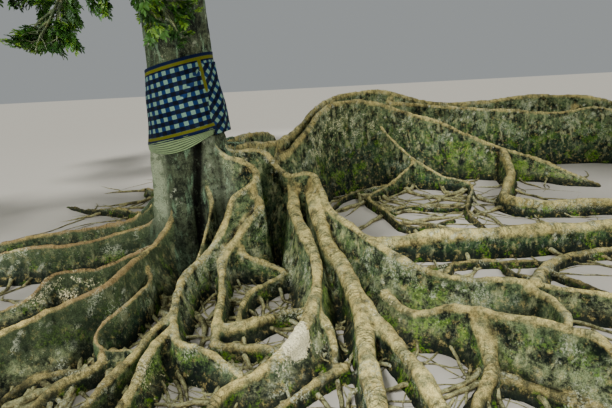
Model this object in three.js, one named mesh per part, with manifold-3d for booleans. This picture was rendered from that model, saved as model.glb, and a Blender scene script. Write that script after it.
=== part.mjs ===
// Banyan tree. A fluted trunk stands on high, wandering surface roots. A checked cloth is wrapped
// round the trunk, and a wide domed crown of separate leafy masses spreads above it.
// Millimetres, +Z up. The origin is on the flat ground cut, under the middle of the trunk.
import * as THREE from "three";
import { mergeVertices } from "three/addons/utils/BufferGeometryUtils.js";
import Module from "manifold-3d";

const METRE = 1000;
const STEEP = 0.85;
const GAP = 0.3;
const UP = new THREE.Vector3(0, 0, 1);
const ACROSS = new THREE.Vector3(1, 0, 0);

// Trunk: stations of [height, radius] from the ground to the fork, and the grooves along it.
const TRUNK = {
  profile: [
    [0, 600],
    [500, 520],
    [1200, 480],
    [1900, 422],
    [2700, 378],
    [3600, 372],
    [4400, 410],
    [5000, 470],
    [5300, 380],
  ],
  lean: [-25, 10],
  lobes: 7,
  lobeDepthLow: 0.1,
  lobeDepthHigh: 0.03,
  lobesFadeBy: 3000,
  lobeUnevenness: 0.6,
  grooveBearing: -1.3,
  grooveWidth: 0.16,
  grooveDepth: 0.24,
  grooveTop: 2000,
  grooveFade: 900,
  sides: 28,
  steps: 15,
};
const TRUNK_HEIGHT = TRUNK.profile.at(-1)[0];

// Cloth wrapped round the trunk, higher on the right than on the left.
const CLOTH = {
  lowEdge: 1640,
  height: 900,
  rise: 95,
  standOff: 3,
  thickness: 12,
  liningDrop: 130,
  liningThickness: 8,
  levels: 4,
  sides: 24,
};

// Surface roots. Each root is one or more walls with a rounded rim, from the trunk outwards. A wall
// has its full width at the rim and at the foot in millimetres, and stations of [x, y, rim height] in
// metres, which follow the ridge that a person would walk along.
const wall = (rim, foot, ...stations) => ({ rim, foot, stations });
const ROOTS = {
  root_left_long: [
    wall(90, 520,
      [-0.1, -0.2, 1.15], [-0.2, -0.55, 0.71], [-0.28, -0.98, 0.57], [-0.34, -1.6, 0.57],
      [-0.44, -2.1, 0.54], [-0.66, -2.45, 0.54], [-1.05, -2.85, 0.46], [-1.5, -3.35, 0.3],
      [-2.0, -3.8, 0.06],
    ),
    wall(55, 150,
      [-0.3, -1.35, 0.4], [-0.18, -1.62, 0.38], [-0.19, -2.0, 0.38], [-0.25, -2.3, 0.38],
      [-0.34, -2.5, 0.34], [-0.33, -2.64, 0.29], [-0.2, -2.72, 0.25], [0.02, -2.7, 0.23],
    ),
  ],
  root_left_low: [
    wall(110, 190,
      [-0.2, -2.6, 0.2], [-0.3, -2.8, 0.17], [-0.48, -2.96, 0.14], [-0.56, -3.1, 0.12],
      [-0.6, -3.5, 0.09], [-0.85, -4.0, 0.04],
    ),
    wall(80, 140,
      [-0.34, -2.84, 0.12], [-0.62, -2.78, 0.11], [-0.85, -2.95, 0.1], [-0.95, -3.25, 0.08],
      [-1.2, -3.6, 0.04],
    ),
  ],
  root_left_third: [
    wall(70, 340,
      [-0.28, -0.64, 0.44], [-0.52, -0.88, 0.42], [-0.95, -1.15, 0.33], [-1.3, -1.35, 0.37],
      [-1.45, -1.72, 0.25], [-1.85, -2.0, 0.18], [-2.5, -2.55, 0.05],
    ),
  ],
  root_left_second: [
    wall(75, 400,
      [-0.2, -0.05, 1.05], [-0.58, -0.16, 0.56], [-1.1, -0.22, 0.42], [-1.55, -0.5, 0.4],
      [-2.05, -0.64, 0.43], [-2.6, -0.7, 0.33], [-3.3, -1.0, 0.18], [-4.0, -1.05, 0.05],
    ),
  ],
  root_left_back: [
    wall(75, 320,
      [-0.2, 0.1, 1.5], [-0.62, 0.22, 0.82], [-0.95, 0.36, 0.52], [-1.4, 0.52, 0.36],
      [-2.25, 0.45, 0.3], [-3.0, 0.2, 0.24], [-3.7, 0.05, 0.15], [-4.5, -0.25, 0.04],
    ),
  ],
  root_back_left: [
    wall(80, 340,
      [-0.15, 0.2, 1.5], [-0.42, 0.62, 0.78], [-0.76, 1.25, 0.5], [-1.1, 2.0, 0.36],
      [-1.3, 2.8, 0.3], [-1.8, 3.5, 0.2], [-2.1, 4.3, 0.05],
    ),
    wall(65, 220,
      [-0.76, 1.25, 0.4], [-1.3, 1.55, 0.24], [-1.9, 2.1, 0.18], [-2.6, 2.4, 0.12],
      [-3.3, 3.0, 0.04],
    ),
  ],
  root_back_middle: [
    wall(85, 380,
      [0, 0.2, 1.6], [-0.1, 0.75, 0.92], [-0.05, 1.5, 0.64], [-0.4, 2.4, 0.5], [-0.5, 3.3, 0.4],
      [-0.9, 4.2, 0.22], [-1.1, 5.0, 0.05],
    ),
  ],
  root_back_right: [
    wall(120, 700,
      [0.15, 0.15, 1.6], [0.42, 0.32, 1.5], [0.82, 1.3, 1.34], [1.16, 2.1, 1.3],
      [1.45, 2.8, 1.46], [1.8, 3.4, 1.74], [2.2, 4.0, 1.86], [2.7, 4.5, 1.92], [3.4, 4.9, 1.88],
      [4.4, 5.1, 1.59], [5.5, 5.2, 1.51], [6.7, 5.3, 1.58], [7.7, 5.3, 1.56], [8.8, 5.2, 1.38],
      [9.8, 4.95, 0.8], [10.8, 4.4, 0.06],
    ),
  ],
  root_back_second: [
    wall(90, 460,
      [3.5, 4.85, 1.62], [4.0, 4.6, 1.58], [4.9, 4.65, 1.47], [6.05, 4.8, 1.34],
      [7.4, 4.75, 1.22], [8.2, 4.65, 1.3], [8.9, 4.3, 0.95], [9.7, 3.6, 0.06],
    ),
  ],
  root_back_far: [
    wall(90, 480,
      [0.1, 0.2, 1.55], [0.36, 0.72, 1.5], [0.66, 1.6, 1.46], [0.86, 2.5, 1.33],
      [0.96, 3.4, 1.0], [0.9, 4.3, 0.6], [0.65, 5.1, 0.26], [0.6, 5.8, 0.05],
    ),
  ],
  root_right_wave: [
    wall(110, 760,
      [1.0, 1.62, 1.0], [1.2, 1.78, 1.12], [1.5, 2.3, 1.36], [1.85, 2.9, 1.7], [2.33, 3.3, 1.8],
      [2.96, 3.6, 1.72], [3.72, 3.8, 1.45], [4.4, 3.8, 1.22], [5.2, 3.7, 0.82],
      [5.75, 3.5, 0.62], [6.3, 3.1, 0.42], [7.0, 2.4, 0.06],
    ),
  ],
  root_right_elbow: [
    wall(170, 340,
      [5.62, 3.6, 0.66], [5.42, 2.7, 0.4], [5.0, 1.9, 0.32], [4.7, 1.25, 0.29],
      [4.86, 0.93, 0.29], [5.3, 0.85, 0.27], [6.2, 0.82, 0.24], [6.9, 0.6, 0.15],
      [7.5, 0.3, 0.04],
    ),
  ],
  root_right_tangle: [
    wall(80, 200,
      [3.05, 3.6, 1.25], [3.3, 3.4, 0.95], [3.66, 3.05, 0.6], [4.1, 2.8, 0.32], [4.55, 2.5, 0.2],
      [4.2, 1.55, 0.13], [4.0, 0.95, 0.1], [4.04, 0.4, 0.05],
    ),
    wall(75, 150,
      [3.62, 3.05, 0.55], [3.1, 2.6, 0.26], [2.6, 2.05, 0.16], [2.74, 1.2, 0.14],
      [2.95, 0.4, 0.11], [3.75, 0.8, 0.05],
    ),
    wall(70, 130,
      [3.15, 2.62, 0.24], [2.75, 2.75, 0.15], [2.2, 2.35, 0.11], [1.9, 1.7, 0.05],
    ),
    wall(60, 110,
      [2.75, 1.2, 0.12], [3.2, 1.5, 0.1], [3.75, 1.3, 0.09], [4.1, 1.3, 0.09],
    ),
  ],
  root_right_front: [
    wall(110, 640,
      [0.15, -0.05, 1.8], [0.44, -0.06, 1.46], [0.68, 0.1, 1.42], [0.93, 0.12, 1.37],
      [1.12, -0.03, 1.18], [1.28, -0.24, 1.11], [1.54, -0.38, 1.16], [1.64, -0.62, 1.0],
      [1.74, -0.92, 0.82], [1.95, -1.3, 0.73], [2.2, -1.75, 0.64], [2.48, -2.02, 0.53],
      [2.85, -2.14, 0.46], [3.25, -2.18, 0.43], [3.6, -2.14, 0.34], [4.05, -2.2, 0.27],
      [4.7, -2.35, 0.18], [5.5, -2.8, 0.04],
    ),
    wall(110, 560,
      [2.15, -2.0, 0.3], [2.36, -2.34, 0.25], [2.62, -2.5, 0.36], [2.95, -2.82, 0.44],
      [3.22, -3.1, 0.5], [3.4, -3.35, 0.5], [3.5, -3.65, 0.3], [3.6, -4.1, 0.06],
    ),
    wall(110, 420,
      [3.42, -2.14, 0.36], [3.52, -2.45, 0.36], [3.46, -2.8, 0.42], [3.28, -3.12, 0.46],
    ),
    wall(130, 240,
      [2.8, -2.72, 0.36], [2.8, -2.95, 0.24], [2.76, -3.12, 0.18], [2.55, -3.4, 0.12],
      [2.35, -3.85, 0.04],
    ),
    wall(110, 200,
      [2.76, -3.1, 0.16], [3.0, -3.26, 0.13], [3.3, -3.6, 0.1], [3.3, -4.1, 0.04],
    ),
  ],
  root_right_log: [
    wall(260, 330,
      [1.72, -0.5, 0.26], [2.43, -0.53, 0.31], [3.4, -0.61, 0.38], [4.37, -0.59, 0.37],
      [5.35, -0.48, 0.35], [6.1, -0.52, 0.26], [7.2, -0.95, 0.05],
    ),
  ],
  root_right_low: [
    wall(130, 210,
      [3.5, -2.05, 0.24], [3.75, -1.72, 0.18], [4.07, -1.3, 0.14], [4.45, -1.0, 0.13],
      [5.1, -0.86, 0.13], [5.7, -1.05, 0.1], [6.3, -1.4, 0.04],
    ),
    wall(85, 150,
      [2.2, -1.4, 0.16], [2.54, -1.2, 0.12], [2.95, -1.02, 0.1], [3.4, -0.96, 0.1],
      [3.85, -1.0, 0.1], [4.4, -1.05, 0.09],
    ),
    wall(80, 150,
      [2.8, -2.1, 0.3], [2.82, -1.65, 0.19], [3.0, -1.25, 0.14], [3.14, -0.98, 0.09],
    ),
    wall(70, 110,
      [3.74, -0.98, 0.09], [3.7, -1.3, 0.1], [3.9, -1.52, 0.1],
    ),
    wall(70, 110,
      [4.1, -1.2, 0.09], [4.2, -1.5, 0.08], [4.5, -1.85, 0.04],
    ),
  ],
  root_front_long: [
    wall(210, 340,
      [1.56, -0.42, 0.98], [1.58, -0.78, 0.86], [1.66, -1.2, 0.62], [1.8, -1.65, 0.47],
      [1.88, -2.1, 0.36], [1.89, -2.6, 0.3], [1.86, -3.1, 0.27], [1.87, -3.6, 0.22],
      [2.05, -4.5, 0.04],
    ),
    wall(170, 280,
      [1.87, -2.02, 0.34], [1.98, -2.36, 0.29], [2.12, -2.74, 0.25], [2.22, -3.1, 0.22],
      [2.28, -3.5, 0.17], [2.38, -4.1, 0.04],
    ),
  ],
  root_front_pillar: [
    wall(150, 560,
      [1.3, -0.3, 0.95], [1.33, -0.8, 0.8], [1.42, -1.2, 0.68], [1.52, -1.6, 0.56],
      [1.53, -2.0, 0.45], [1.46, -2.42, 0.39], [1.3, -2.82, 0.33], [1.05, -3.08, 0.23],
      [0.8, -3.2, 0.17], [0.62, -3.5, 0.04],
    ),
    wall(90, 160,
      [1.72, -2.9, 0.13], [1.53, -3.03, 0.12], [1.34, -3.2, 0.12], [1.1, -3.42, 0.1],
      [1.0, -3.8, 0.04],
    ),
    wall(80, 240,
      [1.5, -2.3, 0.34], [1.62, -2.6, 0.2], [1.62, -2.95, 0.1],
    ),
  ],
  root_front_left: [
    wall(110, 380,
      [0.15, -0.12, 1.7], [0.48, -0.26, 1.42], [0.72, -0.34, 1.33], [0.88, -0.48, 1.21],
      [0.78, -0.64, 1.07], [0.6, -0.76, 0.97], [0.5, -0.88, 0.72], [0.4, -1.07, 0.54],
      [0.26, -1.32, 0.42], [0.17, -1.58, 0.38], [0.18, -2.05, 0.34], [0.28, -2.5, 0.32],
      [0.38, -2.75, 0.31], [0.58, -2.85, 0.31], [0.76, -2.97, 0.27], [0.92, -3.06, 0.2],
    ),
    wall(100, 300,
      [0.28, -2.48, 0.3], [0.19, -2.68, 0.31], [0.16, -2.92, 0.29], [0.14, -3.24, 0.22],
      [0.02, -3.7, 0.14], [-0.1, -4.2, 0.04],
    ),
    wall(90, 280,
      [0.2, -2.2, 0.3], [0.09, -2.5, 0.29], [0.03, -2.75, 0.24], [-0.08, -3.05, 0.2],
      [-0.2, -3.35, 0.15], [-0.45, -4.0, 0.04],
    ),
  ],
  root_front_middle: [
    wall(120, 250,
      [0.7, -0.62, 0.98], [0.88, -0.66, 0.97], [0.92, -0.74, 0.88], [0.76, -0.82, 0.7],
      [0.62, -0.95, 0.52], [0.5, -1.12, 0.39], [0.51, -1.4, 0.31], [0.57, -1.8, 0.26],
      [0.6, -2.3, 0.21], [0.6, -2.56, 0.14],
    ),
    wall(90, 210,
      [0.6, -0.96, 0.48], [0.74, -1.0, 0.34], [0.96, -1.06, 0.26], [1.18, -1.26, 0.22],
      [1.0, -1.44, 0.19], [0.83, -1.66, 0.18], [0.78, -1.95, 0.17], [0.78, -2.24, 0.16],
    ),
    wall(140, 250,
      [0.58, -2.34, 0.17], [0.82, -2.28, 0.17], [1.02, -2.16, 0.16], [1.2, -2.04, 0.16],
      [1.46, -1.98, 0.15],
    ),
    wall(110, 190,
      [0.58, -2.5, 0.14], [0.85, -2.57, 0.13], [1.1, -2.62, 0.12], [1.32, -2.66, 0.12],
    ),
    wall(80, 140,
      [0.6, -0.98, 0.42], [0.5, -1.0, 0.45], [0.36, -1.14, 0.42],
    ),
  ],
  root_front_small: [
    wall(60, 200,
      [0.1, -0.2, 1.25], [0.3, -0.5, 0.9], [0.28, -0.64, 0.71], [0.22, -0.86, 0.46],
      [0.15, -1.08, 0.26], [0.05, -1.36, 0.06],
    ),
  ],
};
const ROOT = { sides: 6, taper: 0.6, slimmest: 0.7, shoulderDrop: 0.5 };

// Limbs. A main bough leaves the fork, and finer limbs leave its tip towards the crown's masses. A low
// limb carries the leaves that hang in front of the trunk. Angles are in degrees: climb is a limb's
// elevation where it starts and where it ends, and swing turns it from its bough's bearing.
const BOUGH = { sides: 6, steps: 4, wander: 5, wanderTurn: 2.1, forkHeight: 4700, sink: 180 };
const MAIN = { length: 3300, climb: [58, 36], bearings: [38, 124, 216, 305], radii: [235, 165] };
const LEADER = { length: 6600, climb: [84, 78], bearing: 70, radii: [250, 110] };
const OUTER = { length: 3000, climb: [26, -4], swing: [-25, 25], radii: [140, 85] };
const UPPER = { length: 2900, climb: [66, 54], swing: 4, radii: [130, 80] };
const LOW = { height: 4050, length: 850, climb: [24, 10], bearing: -97, radii: [85, 60] };

// Crown. Each mass is an ellipsoid of leaves round the end of one limb.
const MASS = {
  outer: { radii: [3400, 3400, 2600], ahead: 2000, lift: -150 },
  upper: { radii: [3400, 3400, 2600], ahead: 1800, lift: 200 },
  top: { radii: [3900, 3900, 2700], ahead: 1900, lift: 100 },
  low: { radii: [1750, 900, 1150], ahead: 600, lift: -850 },
};
const CORE = { reach: 0.58, roughness: 0.2, least: 0.08, shrink: 0.9 };
const STEM = { share: 0.55, taper: 0.7, sides: 6 };
const TWIG = { count: 5, reach: 0.82, forkFrom: 0.6, forkSpread: 0.75, radii: [52, 28], sides: 3 };
const LEAF = {
  length: 1750,
  width: 950,
  thickness: 32,
  sunk: 120,
  stray: 0.6,
  onCore: 8,
  least: 0.35,
  shrink: 0.8,
};
const CLEAR = { neighbour: 25, limb: 60 };
const FIRST_SEED = 101;

const COLOURS = {
  bark: { color: 0x8a8468, roughness: 0.9, metalness: 0 },
  root: { color: 0x9c9470, roughness: 0.9, metalness: 0 },
  cloth: { color: 0x2b3558, roughness: 0.95, metalness: 0 },
  lining: { color: 0xc9d2a8, roughness: 0.95, metalness: 0 },
  foliage: { color: 0x3f6b2a, roughness: 0.7, metalness: 0 },
};

const wasm = await Module();
wasm.setup();

const { lerp, degToRad, smoothstep } = THREE.MathUtils;

// A repeatable random number between 0 and 1.
function seeded(seed) {
  let state = seed >>> 0;
  return () => {
    state = (state + 0x6d2b79f5) >>> 0;
    let mixed = Math.imul(state ^ (state >>> 15), state | 1);
    mixed ^= mixed + Math.imul(mixed ^ (mixed >>> 7), mixed | 61);
    return ((mixed ^ (mixed >>> 14)) >>> 0) / 4294967296;
  };
}

// A unit vector from a bearing in the plan and a climb above it, both in degrees.
function heading(bearing, climb) {
  const level = Math.cos(degToRad(climb));
  return new THREE.Vector3(
    level * Math.cos(degToRad(bearing)),
    level * Math.sin(degToRad(bearing)),
    Math.sin(degToRad(climb)),
  );
}

// Value at x on a list of [x, value] stations, eased between them.
function along(stations, x) {
  const next = stations.findIndex(([place]) => place >= x);
  if (next <= 0) return next ? stations.at(-1)[1] : stations[0][1];
  const [x0, v0] = stations[next - 1];
  const [x1, v1] = stations[next];
  return lerp(v0, v1, smoothstep(x, x0, x1));
}

// A geometry's places alone, with its shared vertices merged.
function withPlacesOnly(geometry) {
  const bare = geometry.clone();
  bare.deleteAttribute("normal");
  bare.deleteAttribute("uv");
  return mergeVertices(bare, 1e-3);
}

// A closed mesh as a solid.
function solidOf(geometry) {
  const merged = withPlacesOnly(geometry);
  return new wasm.Manifold(
    new wasm.Mesh({
      numProp: 3,
      vertProperties: new Float32Array(merged.attributes.position.array),
      triVerts: new Uint32Array(merged.index.array),
    }),
  );
}

// A solid's triangles as a geometry.
function geometryOf(solid) {
  const made = solid.getMesh();
  const geometry = new THREE.BufferGeometry();
  geometry.setAttribute("position", new THREE.BufferAttribute(made.vertProperties, 3));
  geometry.setIndex(new THREE.BufferAttribute(made.triVerts, 1));
  geometry.computeVertexNormals();
  return geometry;
}

function fused(solids) {
  return solids.reduce((whole, solid) => whole.add(solid));
}

function largestBody(solid) {
  const bodies = solid.decompose();
  return bodies.reduce((best, body) => (body.volume() > best.volume() ? body : best));
}

// A cylinder's skin moved onto a new shape. pointAt gets the share of the length, the angle round
// the section, and 1 on the skin or 0 at the middle of an end.
function bentTube(sides, steps, pointAt) {
  const tube = new THREE.CylinderGeometry(1, 1, 1, sides, steps);
  const place = tube.attributes.position;
  const vertex = new THREE.Vector3();
  for (let i = 0; i < place.count; i++) {
    vertex.fromBufferAttribute(place, i);
    const onSkin = Math.round(Math.hypot(vertex.x, vertex.z));
    const angle = onSkin ? Math.atan2(vertex.x, vertex.z) : 0;
    place.setXYZ(i, ...pointAt(vertex.y + 0.5, angle, onSkin));
  }
  return tube;
}

// How far a grown limb's flat ends stand out past the limb's own.
function endGrowth(share, grow) {
  if (share === 0) return -grow;
  return share === 1 ? grow : 0;
}

// How deep the trunk's flutes are at a height, as a share of its radius.
function lobeDepth(height) {
  return lerp(TRUNK.lobeDepthLow, TRUNK.lobeDepthHigh, smoothstep(height, 0, TRUNK.lobesFadeBy));
}

// The trunk's radius at a bearing in radians and a height.
function trunkRadius(bearing, height) {
  const uneven = TRUNK.lobeUnevenness * Math.sin(2 * bearing);
  const lobes = lobeDepth(height) * Math.cos(TRUNK.lobes * bearing + uneven);
  const fade = 1 - smoothstep(height, TRUNK.grooveTop, TRUNK.grooveTop + TRUNK.grooveFade);
  const turned = bearing - TRUNK.grooveBearing;
  const off = Math.atan2(Math.sin(turned), Math.cos(turned)) / TRUNK.grooveWidth;
  const groove = TRUNK.grooveDepth * fade * Math.exp(-(off ** 2));
  return along(TRUNK.profile, height) * (1 + lobes - groove);
}

// The trunk's middle at a height, which leans a little.
function trunkMiddle(height) {
  const share = height / TRUNK_HEIGHT;
  return [TRUNK.lean[0] * share, TRUNK.lean[1] * share];
}

function trunkSolid(grow) {
  const tube = bentTube(TRUNK.sides, TRUNK.steps, (share, angle, onSkin) => {
    const height = share * TRUNK_HEIGHT;
    const bearing = angle - Math.PI / 2;
    const radius = onSkin * (trunkRadius(bearing, height) + grow);
    const [x, y] = trunkMiddle(height);
    const level = height + (share === 1 ? grow : 0);
    return [x + radius * Math.cos(bearing), y + radius * Math.sin(bearing), level];
  });
  return solidOf(tube);
}

// Half width and height at a corner of a root wall's section: its crest, shoulder, foot or middle.
function rootSection(corner, height, rim, foot) {
  const half = Math.min(rim / 2, ROOT.slimmest * height);
  return [
    [0, height],
    [half, height - ROOT.shoulderDrop * half],
    [Math.min(foot / 2, half + height), 0],
    [0, 0],
  ][corner];
}

function rootLimb({ rim, foot, stations }, grow) {
  const curve = new THREE.CatmullRomCurve3(
    stations.map((station) => new THREE.Vector3(...station).multiplyScalar(METRE)),
    false,
    "centripetal",
  );
  const tube = bentTube(ROOT.sides, stations.length - 1, (share, angle, onSkin) => {
    const crest = curve.getPoint(share);
    const ahead = curve.getTangent(share).setZ(0).normalize();
    const side = ahead.clone().cross(UP);
    const taper = lerp(1, ROOT.taper, share);
    const corner = Math.round((Math.abs(angle) / Math.PI) * 3);
    const [half, height] = onSkin
      ? rootSection(corner, crest.z, rim * taper, foot * taper)
      : [0, crest.z / 2];
    const point = crest.setZ(height && height + grow);
    point.addScaledVector(side, Math.sign(angle) * (half && half + grow));
    return point.addScaledVector(ahead, endGrowth(share, grow)).toArray();
  });
  return solidOf(tube);
}

function rootSolid(limbs, grow) {
  return fused(limbs.map((limb) => rootLimb(limb, grow)));
}

// A limb's path: points marched from its start, turning from one climb to the other.
function limbPath(start, bearing, { length, climb }) {
  const stride = length / BOUGH.steps;
  const points = [start.clone()];
  for (let i = 0; i < BOUGH.steps; i++) {
    const rise = lerp(climb[0], climb[1], i / (BOUGH.steps - 1));
    const wander = BOUGH.wander * Math.sin(BOUGH.wanderTurn * i + bearing);
    const way = heading(bearing + wander, rise);
    points.push(points.at(-1).clone().addScaledVector(way, stride));
  }
  return points;
}

// A tapering limb through its path's points, with flat ends square to the path.
function limbSolid({ path, radii, sides }, grow = 0) {
  const curve = new THREE.CatmullRomCurve3(path, false, "centripetal");
  const chord = path.at(-1).clone().sub(path[0]).normalize();
  const reference = Math.abs(chord.z) > STEEP ? ACROSS : UP;
  return solidOf(
    bentTube(sides, path.length - 1, (share, angle, onSkin) => {
      const ahead = curve.getTangent(share);
      const side = ahead.clone().cross(reference).normalize();
      const over = side.clone().cross(ahead);
      const radius = onSkin * (lerp(radii[0], radii[1], share) + grow);
      const point = curve.getPoint(share).addScaledVector(side, radius * Math.sin(angle));
      point.addScaledVector(over, radius * Math.cos(angle));
      return point.addScaledVector(ahead, endGrowth(share, grow)).toArray();
    }),
  );
}

// A point a little way back inside a limb from its tip, where finer limbs start.
function insideTip(path) {
  const back = path.at(-2).clone().sub(path.at(-1)).normalize();
  return path.at(-1).clone().addScaledVector(back, BOUGH.sink);
}

// Every limb of the crown, in the order that they grow, with the kind of mass each one carries.
function crownLimbs() {
  const limbs = [];
  const grow = (name, start, bearing, rule, carries) => {
    const path = limbPath(start, bearing, rule);
    limbs.push({ name, path, radii: rule.radii, sides: BOUGH.sides, carries });
    return path;
  };
  const fork = new THREE.Vector3(...trunkMiddle(BOUGH.forkHeight), BOUGH.forkHeight);
  grow("bough_leader", fork, LEADER.bearing, LEADER, "top");
  MAIN.bearings.forEach((bearing, i) => {
    const tip = insideTip(grow(`bough_main_${i + 1}`, fork, bearing, MAIN));
    OUTER.swing.forEach((swing, k) => {
      grow(`limb_outer_${2 * i + k + 1}`, tip, bearing + swing, OUTER, "outer");
    });
    grow(`limb_upper_${i + 1}`, tip, bearing + UPPER.swing, UPPER, "upper");
  });
  const sideways = trunkRadius(degToRad(LOW.bearing), LOW.height) - BOUGH.sink;
  const side = new THREE.Vector3(...trunkMiddle(LOW.height), LOW.height);
  side.addScaledVector(heading(LOW.bearing, 0), sideways);
  grow("limb_low", side, LOW.bearing, LOW, "low");
  return limbs;
}

// The space each mass keeps to: an ellipsoid ahead of its limb's tip.
function crownMasses(limbs) {
  return limbs
    .filter((limb) => limb.carries)
    .map((limb, i) => {
      const { radii, ahead, lift } = MASS[limb.carries];
      const tip = limb.path.at(-1);
      const onward = tip.clone().sub(limb.path.at(-2)).normalize();
      const centre = tip.clone().addScaledVector(onward, ahead);
      centre.z += lift;
      const name = limb.name.replace(/^[a-z]+/, "foliage");
      const size = radii[2] / MASS.outer.radii[2];
      const reach = new THREE.Vector3(...radii);
      return { name, limb, tip, onward, centre, size, radii: reach, seed: FIRST_SEED + i };
    });
}

// How far a point lies inside a mass's space, negative when it is outside. The space is its
// ellipsoid, up to the plane that it shares with each neighbour.
function depthInside(mass, masses, point) {
  const offset = point.clone().sub(mass.centre);
  let depth = (1 - offset.clone().divide(mass.radii).length()) * mass.radii.z;
  for (const other of masses) {
    if (other === mass) continue;
    const between = other.centre.clone().sub(mass.centre);
    const span = between.length();
    const share = (span * mass.radii.x) / (mass.radii.x + other.radii.x);
    depth = Math.min(depth, share - offset.dot(between) / span - CLEAR.neighbour);
  }
  return depth;
}

// Distance from a point to the nearest skin of the trunk or of a limb.
function clearOfLimbs(point, limbs) {
  const [x, y] = trunkMiddle(point.z);
  const trunkSkin = along(TRUNK.profile, point.z) * (1 + lobeDepth(point.z));
  const fromTrunk = Math.hypot(point.x - x, point.y - y) - trunkSkin;
  let nearest = point.z < TRUNK_HEIGHT ? fromTrunk : Infinity;
  for (const { path, radii } of limbs) {
    path.slice(1).forEach((end, i) => {
      const foot = new THREE.Line3(path[i], end).closestPointToPoint(point, true, new THREE.Vector3());
      nearest = Math.min(nearest, foot.distanceTo(point) - radii[0]);
    });
  }
  return nearest;
}

// A test of whether a point is free for one mass's twigs and leaves.
function freeSpace(mass, masses, limbs) {
  return (point) =>
    depthInside(mass, masses, point) > 0 && clearOfLimbs(point, limbs) > CLEAR.limb;
}

// A point out from a mass's centre, at a share of its ellipsoid.
function outwards(mass, way, reach) {
  return mass.centre.clone().add(way.clone().multiply(mass.radii).multiplyScalar(reach));
}

// The n-th of a count of directions spread evenly over a sphere.
function spreadDirection(n, count, turn) {
  const golden = Math.PI * (3 - Math.sqrt(5));
  const height = 1 - (2 * (n + 0.5)) / count;
  const level = Math.sqrt(1 - height * height);
  const bearing = golden * n + turn;
  return new THREE.Vector3(level * Math.cos(bearing), level * Math.sin(bearing), height);
}

function strayDirection(random) {
  return new THREE.Vector3(random() - 0.5, random() - 0.5, random() - 0.5).normalize();
}

// The dense inside of a mass, drawn in where its space is narrower.
function massCore(mass, isFree, random) {
  const ball = withPlacesOnly(new THREE.IcosahedronGeometry(1, 1));
  const place = ball.attributes.position;
  const way = new THREE.Vector3();
  for (let i = 0; i < place.count; i++) {
    way.fromBufferAttribute(place, i);
    let reach = CORE.reach * (1 + CORE.roughness * (2 * random() - 1));
    while (reach > CORE.least && !isFree(outwards(mass, way, reach))) reach *= CORE.shrink;
    place.setXYZ(i, ...outwards(mass, way, reach));
  }
  return solidOf(ball);
}

// A flat leaf of eight faces from its root along a direction. It stands for a spray of real leaves.
function leafGeometry(root, direction, scale, roll) {
  const leaf = new THREE.OctahedronGeometry(1, 0);
  leaf.scale(LEAF.thickness / 2, (LEAF.width * scale) / 2, (LEAF.length * scale) / 2);
  leaf.rotateZ(roll);
  leaf.applyQuaternion(new THREE.Quaternion().setFromUnitVectors(UP, direction));
  const middle = root.clone().addScaledVector(direction, (LEAF.length / 2 - LEAF.sunk) * scale);
  return withPlacesOnly(leaf.translate(...middle.toArray()));
}

function cornersOf(geometry) {
  const place = geometry.attributes.position;
  const corner = (_, i) => new THREE.Vector3().fromBufferAttribute(place, i);
  return Array.from({ length: place.count }, corner);
}

// The stem of a mass, which starts just clear of its limb's tip, and the twigs that fork from it.
function massTwigs(mass, isFree, random) {
  const start = mass.tip.clone().addScaledVector(mass.onward, GAP);
  const straight = mass.tip.distanceTo(mass.centre) * STEM.share;
  const bend = start.clone().addScaledVector(mass.onward, straight);
  const thick = mass.limb.radii[1];
  const stem = {
    path: [start, bend, mass.centre],
    radii: [thick, thick * STEM.taper],
    sides: STEM.sides,
  };
  const turn = 2 * Math.PI * random();
  const radii = TWIG.radii.map((radius) => radius * mass.size);
  const twigs = [];
  for (let n = 0; n < TWIG.count; n++) {
    const way = spreadDirection(n, TWIG.count, turn);
    const tip = outwards(mass, way, TWIG.reach);
    const fork = mass.centre.clone().lerp(tip, TWIG.forkFrom);
    const forkWay = way.addScaledVector(strayDirection(random), TWIG.forkSpread).normalize();
    const branches = [
      [mass.centre, tip],
      [fork, outwards(mass, forkWay, TWIG.reach)],
    ];
    for (const path of branches) {
      if (isFree(path[1])) twigs.push({ path, radii, sides: TWIG.sides });
    }
  }
  return { stem, twigs };
}

// The root and direction of each leaf: one at the end of each twig, and others out of the core.
function leafPlaces(mass, twigs, random) {
  const atTwigs = twigs.map(({ path: [start, end] }) => ({
    root: end,
    direction: end.clone().sub(start).normalize(),
  }));
  const turn = 2 * Math.PI * random();
  const onCore = Array.from({ length: LEAF.onCore }, (_, n) => {
    const way = spreadDirection(n, LEAF.onCore, turn);
    const root = outwards(mass, way, CORE.reach * (1 - CORE.roughness));
    return { root, direction: root.clone().sub(mass.centre).normalize() };
  });
  return [...atTwigs, ...onCore];
}

// The leaves of a mass, each made smaller where the mass's space is narrow.
function massLeaves(mass, isFree, twigs, random) {
  const leaves = [];
  for (const { root, direction } of leafPlaces(mass, twigs, random)) {
    direction.addScaledVector(strayDirection(random), LEAF.stray).normalize();
    const roll = Math.PI * random();
    for (let scale = mass.size; scale > LEAF.least * mass.size; scale *= LEAF.shrink) {
      const leaf = leafGeometry(root, direction, scale, roll);
      if (!cornersOf(leaf).every(isFree)) continue;
      leaves.push(solidOf(leaf));
      break;
    }
  }
  return leaves;
}

function foliageSolid(mass, masses, limbs) {
  const random = seeded(mass.seed);
  const isFree = freeSpace(mass, masses, limbs);
  const core = massCore(mass, isFree, random);
  const { stem, twigs } = massTwigs(mass, isFree, random);
  const leaves = massLeaves(mass, isFree, twigs, random);
  const wood = [stem, ...twigs].map((limb) => limbSolid(limb));
  return largestBody(fused([core, ...wood, ...leaves]));
}

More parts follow.
